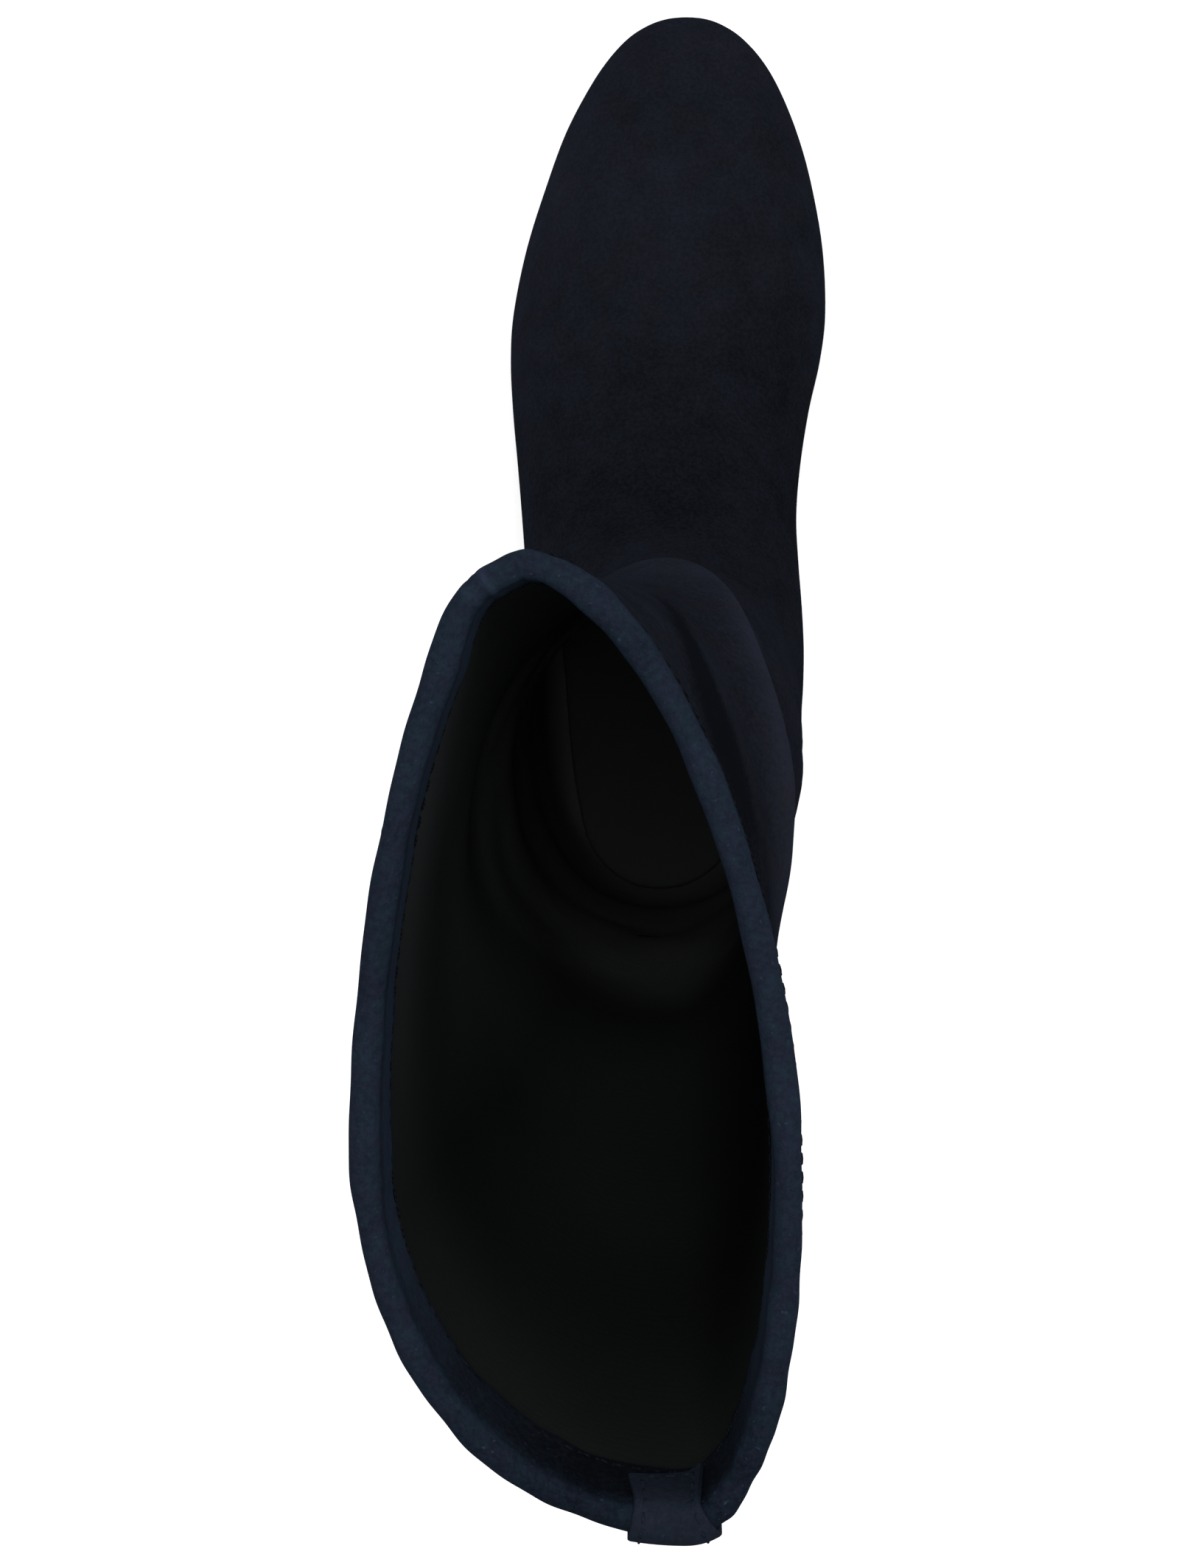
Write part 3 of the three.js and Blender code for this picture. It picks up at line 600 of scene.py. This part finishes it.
def lining_finish():
    """Dark leather in the leg, blended toward a paler napped textile where the mark paints light in,
    and painted paler still low in the foot, where little light comes, all with a very fine rib."""
    finish = Finish("lining_textile")
    place = finish.place()
    rib = finish.add("ShaderNodeTexWave", {"bands_direction": "Z"},
                     {"Vector": place, "Scale": 160.0, "Distortion": 1.2, "Detail": 2.0})
    grain = finish.noise(place, 0.9, 3, 0.6)
    clouds = finish.noise(place, 40, 2)
    # The marks paint light onto the lining: the paler textile and the pale foot stand in for light
    painted_lining_light = finish.mark("painted_lining_light")
    shade = (0.6 * clouds + 0.35 * grain + 0.05 * rib).clamped()
    painted_lit_textile = finish.blend(shade, colour(0.078, 0.084, 0.089), colour(0.131, 0.142, 0.150))
    leather = finish.blend(shade, colour(0.0034, 0.0038, 0.0037), colour(0.0060, 0.0067, 0.0065))
    leg = finish.blend(painted_lining_light, leather, painted_lit_textile)
    return finish.surface(
        Base_Color=finish.blend(0.5 * finish.mark("foot"), leg, colour(0.22, 0.22, 0.215)),
        Roughness=0.88 + 0.08 * grain,
        Specular_IOR_Level=0.03,
        Normal=finish.bump(0.9 * grain + 0.1 * rib, 0.2, 0.6),
    )


def rubber_finish(name, dark, light):
    """Moulded rubber, a little scuffed."""
    finish = Finish(name)
    place = finish.place()
    grain = finish.noise(place, 0.8, 3, 0.6)
    scuff = finish.noise(finish.stretched(place, (1.0, 0.35, 1.0)), 6, 5, 0.7).between(0.52, 0.75)
    return finish.surface(
        Base_Color=finish.blend(0.35 * grain + 0.5 * scuff, colour(*dark), colour(*light)),
        Roughness=0.5 + 0.22 * scuff + 0.12 * grain,
        Specular_IOR_Level=0.4,
        Normal=finish.bump(grain, 0.15, 0.5),
    )


def sock_finish():
    """Smooth dark leather over the insole."""
    finish = Finish("sock_leather")
    place = finish.place()
    pores = finish.add("ShaderNodeTexVoronoi", {"feature": "DISTANCE_TO_EDGE"},
                       {"Vector": place, "Scale": 900.0})
    clouds = finish.noise(place, 30, 3)
    return finish.surface(
        Base_Color=finish.blend(clouds, colour(0.035, 0.038, 0.037), colour(0.050, 0.054, 0.053)),
        Roughness=0.7 + 0.15 * clouds,
        Specular_IOR_Level=0.1,
        Normal=finish.bump(pores, 0.1, 0.5),
    )


def thread_finish(name, dark, light):
    """Waxed navy thread, with the twist of its plies."""
    finish = Finish(name)
    place = finish.place()
    twist = finish.add("ShaderNodeTexWave", {"bands_direction": "DIAGONAL"},
                       {"Vector": place, "Scale": 700.0, "Distortion": 1.0})
    return finish.surface(
        Base_Color=finish.blend(twist, colour(*dark), colour(*light)),
        Roughness=0.75 + 0.1 * twist,
        Specular_IOR_Level=0.0,
        Normal=finish.bump(twist, 0.08, 0.6),
    )


def floor_finish():
    finish = Finish("floor_paper")
    grain = finish.noise(finish.place(), 3, 3)
    return finish.surface(
        Base_Color=finish.blend(grain, colour(0.86, 0.86, 0.86), colour(0.9, 0.9, 0.9)),
        Roughness=0.9 + 0.05 * grain,
        Emission_Color=colour(1.0, 1.0, 1.0),
        Emission_Strength=0.45,
    )


NAVY = ((0.0023, 0.0026, 0.0034), (0.0130, 0.0152, 0.0232), (0.0138, 0.0146, 0.0214), 0.004, 0.1, 12)
UPPER_SUEDE = suede_finish("upper_suede", *NAVY)
HEEL_SUEDE = suede_finish("heel_suede", *NAVY)
BINDING_SUEDE = suede_finish("binding_suede", (0.0030, 0.0042, 0.0066), (0.0135, 0.0225, 0.0350),
                             (0.0150, 0.0190, 0.0335), 0.006, 0.7, 3)
TAB_SUEDE = suede_finish("tab_suede", (0.0036, 0.0048, 0.0076), (0.0126, 0.0178, 0.0280),
                         (0.0142, 0.0168, 0.0262), 0.006, 0.3, 5)
LINING = lining_finish()
SOLE_RUBBER = rubber_finish("sole_rubber", (0.004, 0.004, 0.0045), (0.020, 0.020, 0.022))
LIFT_RUBBER = rubber_finish("lift_rubber", (0.004, 0.004, 0.0045), (0.022, 0.022, 0.022))
SOCK_LEATHER = sock_finish()
BINDING_THREAD = thread_finish("binding_thread", (0.0030, 0.0035, 0.0048), (0.0072, 0.0082, 0.0108))
TAB_THREAD = thread_finish("tab_thread", (0.0062, 0.0084, 0.0130), (0.0098, 0.0126, 0.0190))


def piece(name, points, faces, finish, stands_for=(), marks=None, sharp=50):
    """A closed mesh piece of the boot from points in millimetres."""
    mesh = bpy.data.meshes.new(name)
    mesh.from_pydata((np.asarray(points) / 1000).tolist(), [], faces)
    work = bmesh.new()
    work.from_mesh(mesh)
    bmesh.ops.recalc_face_normals(work, faces=work.faces)
    work.to_mesh(mesh)
    work.free()
    mesh.polygons.foreach_set("use_smooth", [True] * len(mesh.polygons))
    mesh.set_sharp_from_angle(angle=math.radians(sharp))
    for key, values in (marks or {}).items():
        kept = mesh.attributes.new(key, "FLOAT", "POINT")
        kept.data.foreach_set("value", np.asarray(values, np.float32))
    made = bpy.data.objects.new(name, mesh)
    bpy.context.scene.collection.objects.link(made)
    mesh.materials.append(finish)
    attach(made, "root")
    for node in stands_for:
        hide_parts(node)
    return made


def ring_faces(rings, columns, start=0):
    """Faces between rings of points, each ring closed on itself."""
    faces = []
    for low in range(start, start + (rings - 1) * columns, columns):
        for k in range(columns):
            n = (k + 1) % columns
            faces.append((low + k, low + n, low + columns + n, low + columns + k))
    return faces


def places_along():
    """Where the wall's rings lie, closer together round the toe and the ankle."""
    found = []
    for i in range(COLLAR):
        found.extend(i + np.arange(PARTS[i]) / PARTS[i])
    return np.array(found[1:] + [COLLAR])


def whole_wall(outside, inside, columns, step):
    """Points, faces and turns of a hollow wall between two distances from the skin, open at the
    collar, which still runs through under the foot. Every step-th ring is used."""
    s = places_along()
    s = np.concatenate([s[:-1:step], s[-1:]])
    a = np.arange(columns) / columns * 2 * math.pi
    points = []
    faces = []
    rims = []
    for out in (outside, inside):
        start = len(points)
        points.append(off_skin(0.0, 0.0, out, worn_skin))
        points.extend(off_skin(s[:, None], a[None, :], out, worn_skin).reshape(-1, 3))
        for k in range(columns):
            faces.append((start, start + 1 + k, start + 1 + (k + 1) % columns))
        faces.extend(ring_faces(len(s), columns, start + 1))
        rims.append(len(points) - columns)
    for k in range(columns):
        n = (k + 1) % columns
        faces.append((rims[0] + k, rims[0] + n, rims[1] + n, rims[1] + k))
    return np.array(points), faces, np.concatenate([[0], np.tile(a, len(s))] * 2)


def cut_at_bed(points, faces, painted_shading):
    """What lies above the bed of the sole, with the cut edge of the wall filled in."""
    level = points - np.outer(bed(points[:, 1]), (0, 0, 1))
    mesh = bpy.data.meshes.new("whole_wall")
    mesh.from_pydata(level.tolist(), [], faces)
    work = bmesh.new()
    work.from_mesh(mesh)
    bpy.data.meshes.remove(mesh)
    # The painted light and shade go with the points through the cut
    painted_shading_layer = work.verts.layers.float.new("painted_shading")
    for vertex, value in zip(work.verts, painted_shading):
        vertex[painted_shading_layer] = value
    everything = work.verts[:] + work.edges[:] + work.faces[:]
    bmesh.ops.bisect_plane(work, geom=everything, dist=1e-4, plane_co=(0, 0, 0),
                           plane_no=(0, 0, 1), clear_inner=True)
    cut = [edge for edge in work.edges if len(edge.link_faces) == 1]
    bmesh.ops.triangle_fill(work, edges=cut, use_beauty=True)
    work.verts.index_update()
    kept = np.array([vertex.co[:] for vertex in work.verts])
    kept[:, 2] += bed(kept[:, 1])
    painted_shading = [vertex[painted_shading_layer] for vertex in work.verts]
    shown = [tuple(vertex.index for vertex in face.verts) for face in work.faces]
    work.free()
    return kept, shown, painted_shading


def painted_upper_shading(points, a):
    """Painted light and shade on the upper's suede: painted highlights on the leg's ridges, the toe and
    the outer side, and painted shade in the leg's hollows, its creases and on the instep."""
    x, y, z = points.T
    swell = fold_swell(points, a) + crease_swell(points, a)
    on_leg = ramp(z, 120, 180)
    # Painted light toward the toe and on the outer side, painted shade on the instep
    toe = 0.3 * ramp(y, 110, 180)
    outer_side = 0.3 * ramp(-x, 10, 35) * ramp(z, 120, 80)
    instep = 0.25 * ramp(np.abs(y - 90), 60, 0) * (1 - on_leg)
    folds = 0.07 * swell * on_leg + along_folds(PAINTED_FOLD_LIGHT, "tone", points, a)
    return np.clip(folds + toe + outer_side - instep, -1.3, 1.2)


def lining_marks(points):
    """Where light is painted onto the lining: in a strip down the outer side, where light falls in,
    just below the collar's edge, and low down, where little light comes in. In the foot it is painted
    paler still."""
    x, y, z = points.T
    down = SHAFT_HEIGHT - z
    outer_side = ramp(-x, 0, 40) * np.maximum(ramp(y, -35, 40), 0.06)
    strip = outer_side * (0.08 + 0.65 * down / 150) * ramp(down, 285, 135)
    foot = ramp(down, 180, 315) ** 1.2
    low = 0.055 * (1 + 4.5 * ramp(y, 20, 60)) * ramp(down, 75, 150) + 0.75 * foot
    edge = 0.045 * ramp(down, 60, 0)
    return {"painted_lining_light": np.clip(np.maximum(strip, low) + edge, 0, 1), "foot": foot}


def make_upper():
    """The suede outside and the lining inside, together as thick as the wall."""
    points, faces, turns = whole_wall(0.0, -SUEDE_THICKNESS, 180, 1)
    points, faces, painted_shading = cut_at_bed(points, faces, painted_upper_shading(points, turns))
    # The suede carries its painted light and shade as a mark
    piece("upper_cover", points, faces, UPPER_SUEDE, ["upper"], {"painted_shading": painted_shading})
    points, faces, turns = whole_wall(-SUEDE_THICKNESS - LINING_GAP, -WALL, 120, 2)
    points, faces, _ = cut_at_bed(points, faces, np.zeros(len(points)))
    piece("upper_lining", points, faces, LINING, marks=lining_marks(points))


def sole_line(out, raised):
    """Where the skin, moved out by a distance, crosses the bed raised by a height: points from the
    heel to the toe along the inner and the outer side, their ends in common."""
    s = np.linspace(FIRST_SOLE_ROW, LAST_SOLE_ROW, 1800)
    sides = []
    for sign in (INNER_SIDE, OUTER_SIDE):
        above = np.full(s.shape, SIDE_TURN * sign)
        below = np.full(s.shape, math.pi * sign)

        def over(turn):
            point = off_skin(s, turn, out)
            return point[:, 2] - bed(point[:, 1]) - raised

        crossing = over(below) < 0
        for _ in range(24):
            middle = (above + below) / 2
            under = over(middle) < 0
            below = np.where(under, middle, below)
            above = np.where(under, above, middle)
        sides.append(off_skin(s, below, out)[crossing][::-1])
    for end in (0, -1):
        common = (sides[0][end] + sides[1][end]) / 2
        sides[0][end] = sides[1][end] = common
    return sides


def distances(line):
    """How far along a line each of its points lies."""
    return np.concatenate([[0], np.cumsum(np.linalg.norm(np.diff(line, axis=0), axis=1))])


def at_distances(wanted, far, values):
    """Values kept along a line, taken at other distances."""
    return np.stack([np.interp(wanted, far, column) for column in values.T], axis=1)


def evenly(line, count, farthest=None):
    """Points spaced evenly along a line seen from above, as far as a place along the foot."""
    if farthest is not None:
        near = line[line[:, 1] <= farthest]
        after = line[len(near)]
        share = (farthest - near[-1, 1]) / (after[1] - near[-1, 1])
        line = np.vstack([near, near[-1] + (after - near[-1]) * share])
    far = distances(line[:, :2])
    return at_distances(np.linspace(0, far[-1], count), far, line[:, :2])


def drawn_in(line, inset, sign):
    """One side's line, moved in toward the middle of the foot."""
    tangent = np.gradient(line, axis=0)
    tangent[0] = (sign, 0)
    tangent /= np.linalg.norm(tangent, axis=1, keepdims=True)
    return line + inset * np.stack([-tangent[:, 1] * sign, tangent[:, 0] * sign], axis=1)


def slab(layers, across=10):
    """A closed solid through layers from its top to its bottom. Each layer is a pair of lines of
    points, inner and outer, whose first points, and last ones if they meet, are common."""
    meets = np.linalg.norm(layers[0][0][-1] - layers[0][1][-1]) < SAME_PLACE
    count = len(layers[0][0])
    points = []
    for inner, outer in layers:
        points.extend(np.vstack([inner, outer[::-1][1 if meets else 0:-1]]))
    size = len(points) // len(layers)
    faces = ring_faces(len(layers), size)
    for start, (inner, outer) in ((0, layers[0]), (len(points) - size, layers[-1])):
        rows = []
        for j in range(count):
            if j == 0 or (meets and j == count - 1):
                rows.append([start + j] * (across + 1))
                continue
            row = [start + j]
            for k in range(1, across):
                row.append(len(points))
                points.append(inner[j] + (outer[j] - inner[j]) * (k / across))
            rows.append(row + [start + size - j])
        for near, far in zip(rows, rows[1:]):
            for k in range(across):
                corners = dict.fromkeys((near[k], near[k + 1], far[k + 1], far[k]))
                if len(corners) > 2:
                    faces.append(tuple(corners))
    return np.array(points), faces


def level_layer(lines, inset, height):
    """A layer of a slab: the outline's two lines drawn in, at heights given by a function of y."""
    made = []
    for line, sign in zip(lines, (INNER_SIDE, OUTER_SIDE)):
        flat = drawn_in(line, inset, sign)
        made.append(np.column_stack([flat, height(flat[:, 1])]))
    made[1][0] = made[0][0]
    if np.linalg.norm(lines[0][-1] - lines[1][-1]) < SAME_PLACE:
        made[1][-1] = made[0][-1]
    return made


def flat_at(height):
    return lambda y: np.full(np.shape(y), float(height))


def make_sole():
    """A thin sole with a rounded, grooved edge and a bevel round its underside."""
    lines = [evenly(line, 260) for line in sole_line(SOLE_MARGIN, 0)]
    layers = []
    for inset, depth in SOLE_EDGE:
        layers.append(level_layer(lines, inset, lambda y: bed(y) - GAP - depth))
    for inset, height in SOLE_FOOT:
        layers.append(level_layer(lines, inset, lambda y: sole_bottom(y) + height))
    points, faces = slab(layers)
    piece("outsole_rubber", points, faces, SOLE_RUBBER, ["outsole"], sharp=35)


def make_insole():
    lines = [evenly(line, 200) for line in sole_line(-WALL - GAP, GAP)]
    layers = []
    for inset, depth in INSOLE_EDGE:
        layers.append(level_layer(lines, inset, lambda y: bed(y) + INSOLE_THICKNESS - depth))
    layers.append(level_layer(lines, 0, lambda y: bed(y) + GAP))
    points, faces = slab(layers, 16)
    piece("insole_sock", points, faces, SOCK_LEATHER, ["insole"])


SEAT_LINES = [evenly(line, 70, y_of(HEEL_BREAST)) for line in sole_line(SOLE_MARGIN, 0)]


def heel_layer(down, height, inset=0.0):
    """The heel's outline, from the seat's size at 0 to the top piece's size at 1."""
    seat = level_layer(SEAT_LINES, HEEL_INSET, flat_at(0))
    both = np.vstack(seat)
    low = both.min(axis=0)
    high = both.max(axis=0)
    wide = 1 + (LIFT_WIDTH / (high[0] - low[0]) - 1) * down
    long = 1 + (LIFT_LENGTH / (high[1] - low[1]) - 1) * down
    middle = (low[0] + high[0]) / 2
    made = []
    for line, sign in zip(seat, (INNER_SIDE, OUTER_SIDE)):
        x = middle + (line[:, 0] - middle) * wide
        y = low[1] + (line[:, 1] - low[1]) * long + HEEL_RAKE * down
        flat = drawn_in(np.column_stack([x, y]), inset, sign)
        flat[-1, 1] -= inset
        made.append(np.column_stack([flat, height(flat[:, 1])]))
    made[1][0] = made[0][0]
    return made


def make_heel():
    """The block heel in its suede cover, from under the sole to over the top piece."""
    top = lambda y: sole_bottom(y) - GAP
    bottom = LIFT_THICKNESS + GAP
    layers = [heel_layer(0, top, 0.6)]
    for share in np.linspace(0.012, 0.985, HEEL_LAYERS):
        down = share**HEEL_TAPER
        layers.append(heel_layer(down, lambda y: top(y) + (bottom - top(y)) * share))
    layers.append(heel_layer(1, flat_at(bottom), 0.4))
    points, faces = slab(layers)
    piece("heel_cover", points, faces, HEEL_SUEDE, ["heel_block"])


def make_lift():
    layers = [heel_layer(1, flat_at(height), inset) for inset, height in LIFT_EDGE]
    points, faces = slab(layers)
    piece("lift_rubber", points, faces, LIFT_RUBBER, ["top_lift"])


# Rows of the skin that reach a height near the collar
TOP_PLACES = np.linspace(COLLAR - 3, COLLAR, 400)
TOP_HEIGHTS = section_at(TOP_PLACES)[:, 3]


def beside(a, depth, out):
    """Points beside the collar, at a depth below its top and a distance out from the skin."""
    a, depth, out = np.broadcast_arrays(a, np.asarray(depth, float), np.asarray(out, float))
    s = np.interp(SHAFT_HEIGHT - np.maximum(depth, 0), TOP_HEIGHTS, TOP_PLACES)
    point = off_skin(s, a, out)
    point[..., 2] = SHAFT_HEIGHT - depth
    return point


def over_collar(outside, inside, away, parts, roll):
    """Depth and distance out of a line that runs over the collar at a distance from the wall."""
    radius = WALL / 2 + away
    line = [(outside * (1 - t), away) for t in np.linspace(0, 1, parts)[:-1]]
    for turn in np.linspace(0, math.pi, roll + 1):
        line.append((-radius * math.sin(turn), -WALL / 2 + radius * math.cos(turn)))
    line += [(inside * t, -WALL - away) for t in np.linspace(0, 1, parts)[1:]]
    return np.array(line)


def strip_section(outside, inside, away, thick, parts, roll):
    """Closed section of suede turned over the collar, its cut edges a little rounded."""
    over = over_collar(outside, inside, away + thick, parts, roll)
    under = over_collar(outside, inside, away, parts, roll)
    soft = thick * 0.3
    over[0, 0] -= soft
    over[-1, 0] -= soft
    first = [(outside, away + thick - soft), (outside, away + soft)]
    last = [(inside, -WALL - away - soft), (inside, -WALL - away - thick + soft)]
    return np.vstack([over, last[::-1], under[::-1], first[::-1]])


def gentle(a, *waves):
    """A slow wave round the collar, from pairs of turns and size."""
    return sum(size * np.sin(turns * a + 1.7 * turns) for turns, size in waves)


def binding_marks(a, depth, out):
    """Painted highlights on the binding's top, at its outer edge and beside the crease, and painted
    shade round the back. The facing inside is painted light too, but painted darker and greyer at the
    back."""
    beside_crease = turned(a, COLLAR_CREASE)
    lips = np.exp(-((beside_crease - 2.2) ** 2)) + 0.6 * np.exp(-((beside_crease + 2.6) ** 2))
    behind = ramp(-np.cos(a), 0.3125, 0.9375)
    facing = ramp(depth, 0.5, 3.5) * (out < -WALL / 2)
    lower_edge = ramp(depth, BINDING_OUTSIDE - 1, BINDING_OUTSIDE) * (out > -WALL / 2)
    # Painted highlights on the top, the lower edge and the crease's lips; painted shade at the back
    painted_shading = 0.35 * ramp(np.abs(depth + 1), 3, 0) + 0.5 * lower_edge + 0.7 * lips
    painted_shading = painted_shading - 0.45 * behind + (0.9 - 1.1 * behind) * facing
    return {"painted_shading": painted_shading.reshape(-1), "grey": (behind * facing).reshape(-1)}


def make_binding():
    """Suede turned over the collar, puffed by slow waves, dented at the crease, its lower edges
    not quite even."""
    count = 640
    a = (np.arange(count) / count * 2 * math.pi)[:, None]
    section = strip_section(BINDING_OUTSIDE, BINDING_INSIDE, GAP, BINDING_THICKNESS, 9, 14)
    depth, out = section.T[:, None, :]
    dent = 0.3 * np.exp(-((turned(a, COLLAR_CREASE) / 1.6) ** 2))
    puff = gentle(a, (7, 0.12), (13, 0.1), (23, 0.08), (41, 0.05)) - dent
    edge = gentle(a, (5, 0.25), (11, 0.18), (29, 0.1))
    low = np.where(depth > BINDING_OUTSIDE - 1.5, edge, 0)
    points = beside(a, depth + low, out + np.sign(out + WALL / 2) * puff)
    points[..., 2] += np.where(depth < 0, puff * 0.8, 0)
    size = len(section)
    start = (count - 1) * size
    faces = ring_faces(count, size)
    faces += [(start + k, start + (k + 1) % size, (k + 1) % size, k) for k in range(size)]
    piece("binding_cover", points.reshape(-1, 3), faces, BINDING_SUEDE,
          ["collar_binding"], binding_marks(a, depth, out))


def back_turn(shift):
    """The turn near the back where the skin at the collar lies at a shift to the inner side of
    the hindmost line."""
    turns = np.linspace(math.radians(120), math.radians(240), 2000)
    across = skin(np.full(turns.shape, float(COLLAR)), turns)[:, 0]
    hindmost = skin(np.array([float(COLLAR)]), np.array([math.pi]))[0, 0]
    return np.interp(-np.asarray(shift), hindmost - across, turns)


def tab_place(share, depth, out):
    """Turn and depth of a place on the tab, whose inner end spreads and lies at a slant."""
    inside = np.where(out < -WALL / 2, np.clip(depth / TAB_INSIDE, 0, 1), 0)
    turn = back_turn(TAB_SHIFT + TAB_WIDTH * (0.5 - share) * (1 + 0.2 * inside))
    return turn, depth * np.where(inside > 0, 0.92 - 0.3 * share, 1)


def make_tab():
    """A strip of suede folded over the binding, its long edges pinched thin."""
    count = 28
    under = 2 * GAP + BINDING_THICKNESS
    section = strip_section(TAB_OUTSIDE, TAB_INSIDE, under, TAB_THICKNESS, 16, 14)
    shares = np.concatenate([[0, 0.006], np.linspace(0.03, 0.97, count - 4), [0.994, 1]])
    thin = 1 - 0.9 * np.concatenate([[0.5, 0.2], np.zeros(count - 4), [0.2, 0.5]])[:, None]
    middle = under + TAB_THICKNESS / 2
    centre = np.where(section[:, 1] > -WALL / 2, middle, -WALL - middle)
    radius = np.hypot(section[:, 0], section[:, 1] + WALL / 2)
    mid_radius = WALL / 2 + middle
    thinned = (mid_radius + (radius - mid_radius) * thin) / np.maximum(radius, 1e-6)
    top = section[:, 0] < 0
    depth = section[:, 0] * np.where(top, thinned, 1)
    out = np.where(top, (section[:, 1] + WALL / 2) * thinned - WALL / 2,
                   centre + (section[:, 1] - centre) * thin)
    turn, low = tab_place(shares[:, None], depth, out)
    points = beside(turn, low, out)
    size = len(section)
    faces = ring_faces(count, size)
    faces += [tuple(range(size)), tuple((count - 1) * size + k for k in range(size))]
    # Painted highlight along the tab's top, where it rolls over the collar
    painted_shading = 0.5 * ramp(np.abs(depth + 1), 6, 0)
    piece("tab_cover", points.reshape(-1, 3), faces, TAB_SUEDE, ["back_tab"],
          {"painted_shading": painted_shading.reshape(-1)})


def stitches(name, rows, length, pitch, thick, thread):
    """Rows of stitches, each row given by spots along it and the outward directions there."""
    points = []
    faces = []
    sides = 6
    rings = len(STITCH_ALONG)
    for spots, normals in rows:
        far = distances(spots)
        for start in np.arange(0, far[-1] - length, pitch):
            along = start + length * STITCH_ALONG
            line = at_distances(along, far, spots)
            up = at_distances(along, far, normals)
            up /= np.linalg.norm(up, axis=1, keepdims=True)
            tangent = line[-1] - line[0]
            tangent /= np.linalg.norm(tangent)
            side = np.cross(tangent, up)
            base = len(points)
            for spot, u, w, lift, wide in zip(line, up, side, STITCH_LIFT, STITCH_WIDE):
                for k in range(sides):
                    turn = 2 * math.pi * k / sides
                    rise = lift + 0.75 * wide * math.cos(turn)
                    points.append(spot + (u * rise + w * wide * math.sin(turn)) * thick)
            faces += ring_faces(rings, sides, base)
            faces.append(tuple(base + k for k in range(sides)))
            faces.append(tuple(base + (rings - 1) * sides + k for k in range(sides)))
    piece(name, np.array(points), faces, thread)


def collar_row(depth, away, a):
    """Spots and outward directions of a stitched row beside the collar."""
    spots = beside(a, depth, away)
    direction = 1 if away > -WALL / 2 else -1
    s = np.full(a.shape, float(COLLAR) - 0.1)
    return spots, outward(skin, s, a) * direction


def make_stitches():
    a = np.linspace(0, 2 * math.pi, 2400)
    face = GAP + BINDING_THICKNESS
    rows = [collar_row(BINDING_ROWS[0], face, a), collar_row(BINDING_ROWS[1], -WALL - face, a)]
    stitches("binding_stitches", rows, 2.3, 3.1, 0.26, BINDING_THREAD)
    face = 2 * GAP + BINDING_THICKNESS + TAB_THICKNESS
    rows = []
    for depth, away in ((TAB_ROWS[1], -WALL - face), (TAB_ROWS[0], face)):
        turns, low = tab_place(np.linspace(*TAB_SEAMS, 60), depth, away)
        rows.append(collar_row(low, away, turns))
    for share in TAB_SEAMS:
        depth, out = over_collar(*TAB_ROWS, face, 30, 40).T
        turns, low = tab_place(share, depth, out)
        level = outward(skin, np.full(len(depth), COLLAR - 0.1), turns)
        radius = WALL / 2 + face
        on_top = np.clip(-depth / radius, 0, 1)
        tilt = np.clip((out + WALL / 2) / radius, -1, 1)
        normals = level * tilt[:, None] + np.array([0, 0, 1.0]) * on_top[:, None]
        rows.append((beside(turns, low, out), normals))
    stitches("tab_stitches", rows, 2.1, 2.9, 0.24, TAB_THREAD)


def make_floor():
    side = 3.0
    mesh = bpy.data.meshes.new("floor")
    corners = [(-side, -side, 0), (side, -side, 0), (side, side, 0), (-side, side, 0)]
    mesh.from_pydata(corners, [], [(0, 1, 2, 3)])
    mesh.materials.append(floor_finish())
    floor = bpy.data.objects.new("floor", mesh)
    bpy.context.scene.collection.objects.link(floor)


def make_camera():
    """High above the boot. The middle of the picture isn't straight below it, so it looks a
    little aslant, toward the heel. Pixels are those of the full picture."""
    width, height = 1600, 2128
    straight_down = (890, 640)
    focal = 3826.0
    across = (straight_down[0] - width / 2) / focal
    up = (height / 2 - straight_down[1]) / focal
    turn = Vector((across, up, -1)).normalized().rotation_difference(Vector((0, 0, -1)))
    lens = bpy.data.cameras.new("camera")
    lens.sensor_width = 36.0
    lens.sensor_fit = "AUTO"
    lens.lens = focal / height * lens.sensor_width
    lens.clip_start = 0.01
    camera = bpy.data.objects.new("camera", lens)
    place = Matrix.Translation(Vector((-0.001, 0.093, 0.85)))
    camera.matrix_world = place @ turn.to_matrix().to_4x4()
    bpy.context.scene.collection.objects.link(camera)
    bpy.context.scene.camera = camera


def lamp(name, spot, aim, size, power):
    """A round soft lamp, its places and size in metres and its power in watts."""
    light = bpy.data.lights.new(name, "AREA")
    light.shape = "DISK"
    light.size = size
    light.energy = power
    made = bpy.data.objects.new(name, light)
    made.location = spot
    made.rotation_euler = (Vector(aim) - Vector(spot)).to_track_quat("-Z", "Y").to_euler()
    bpy.context.scene.collection.objects.link(made)


def make_lights():
    middle = (0.0, 0.08, 0.2)
    lamp("overhead_lamp", (0.0, 0.28, 1.15), middle, 0.5, 6.2)
    lamp("left_lamp", (-1.2, 0.2, 1.3), middle, 0.8, 2.5)
    lamp("right_lamp", (0.9, 0.1, 1.3), middle, 0.6, 4.0)
    world = bpy.data.worlds.new("studio")
    world.use_nodes = True
    glow = world.node_tree.nodes["Background"].inputs
    glow["Color"].default_value = (1, 1, 1, 1)
    glow["Strength"].default_value = 0.5
    bpy.context.scene.world = world
    bpy.context.scene.view_settings.view_transform = "Standard"


make_camera()
make_lights()
make_floor()
make_upper()
make_sole()
make_insole()
make_heel()
make_lift()
make_binding()
make_tab()
make_stitches()
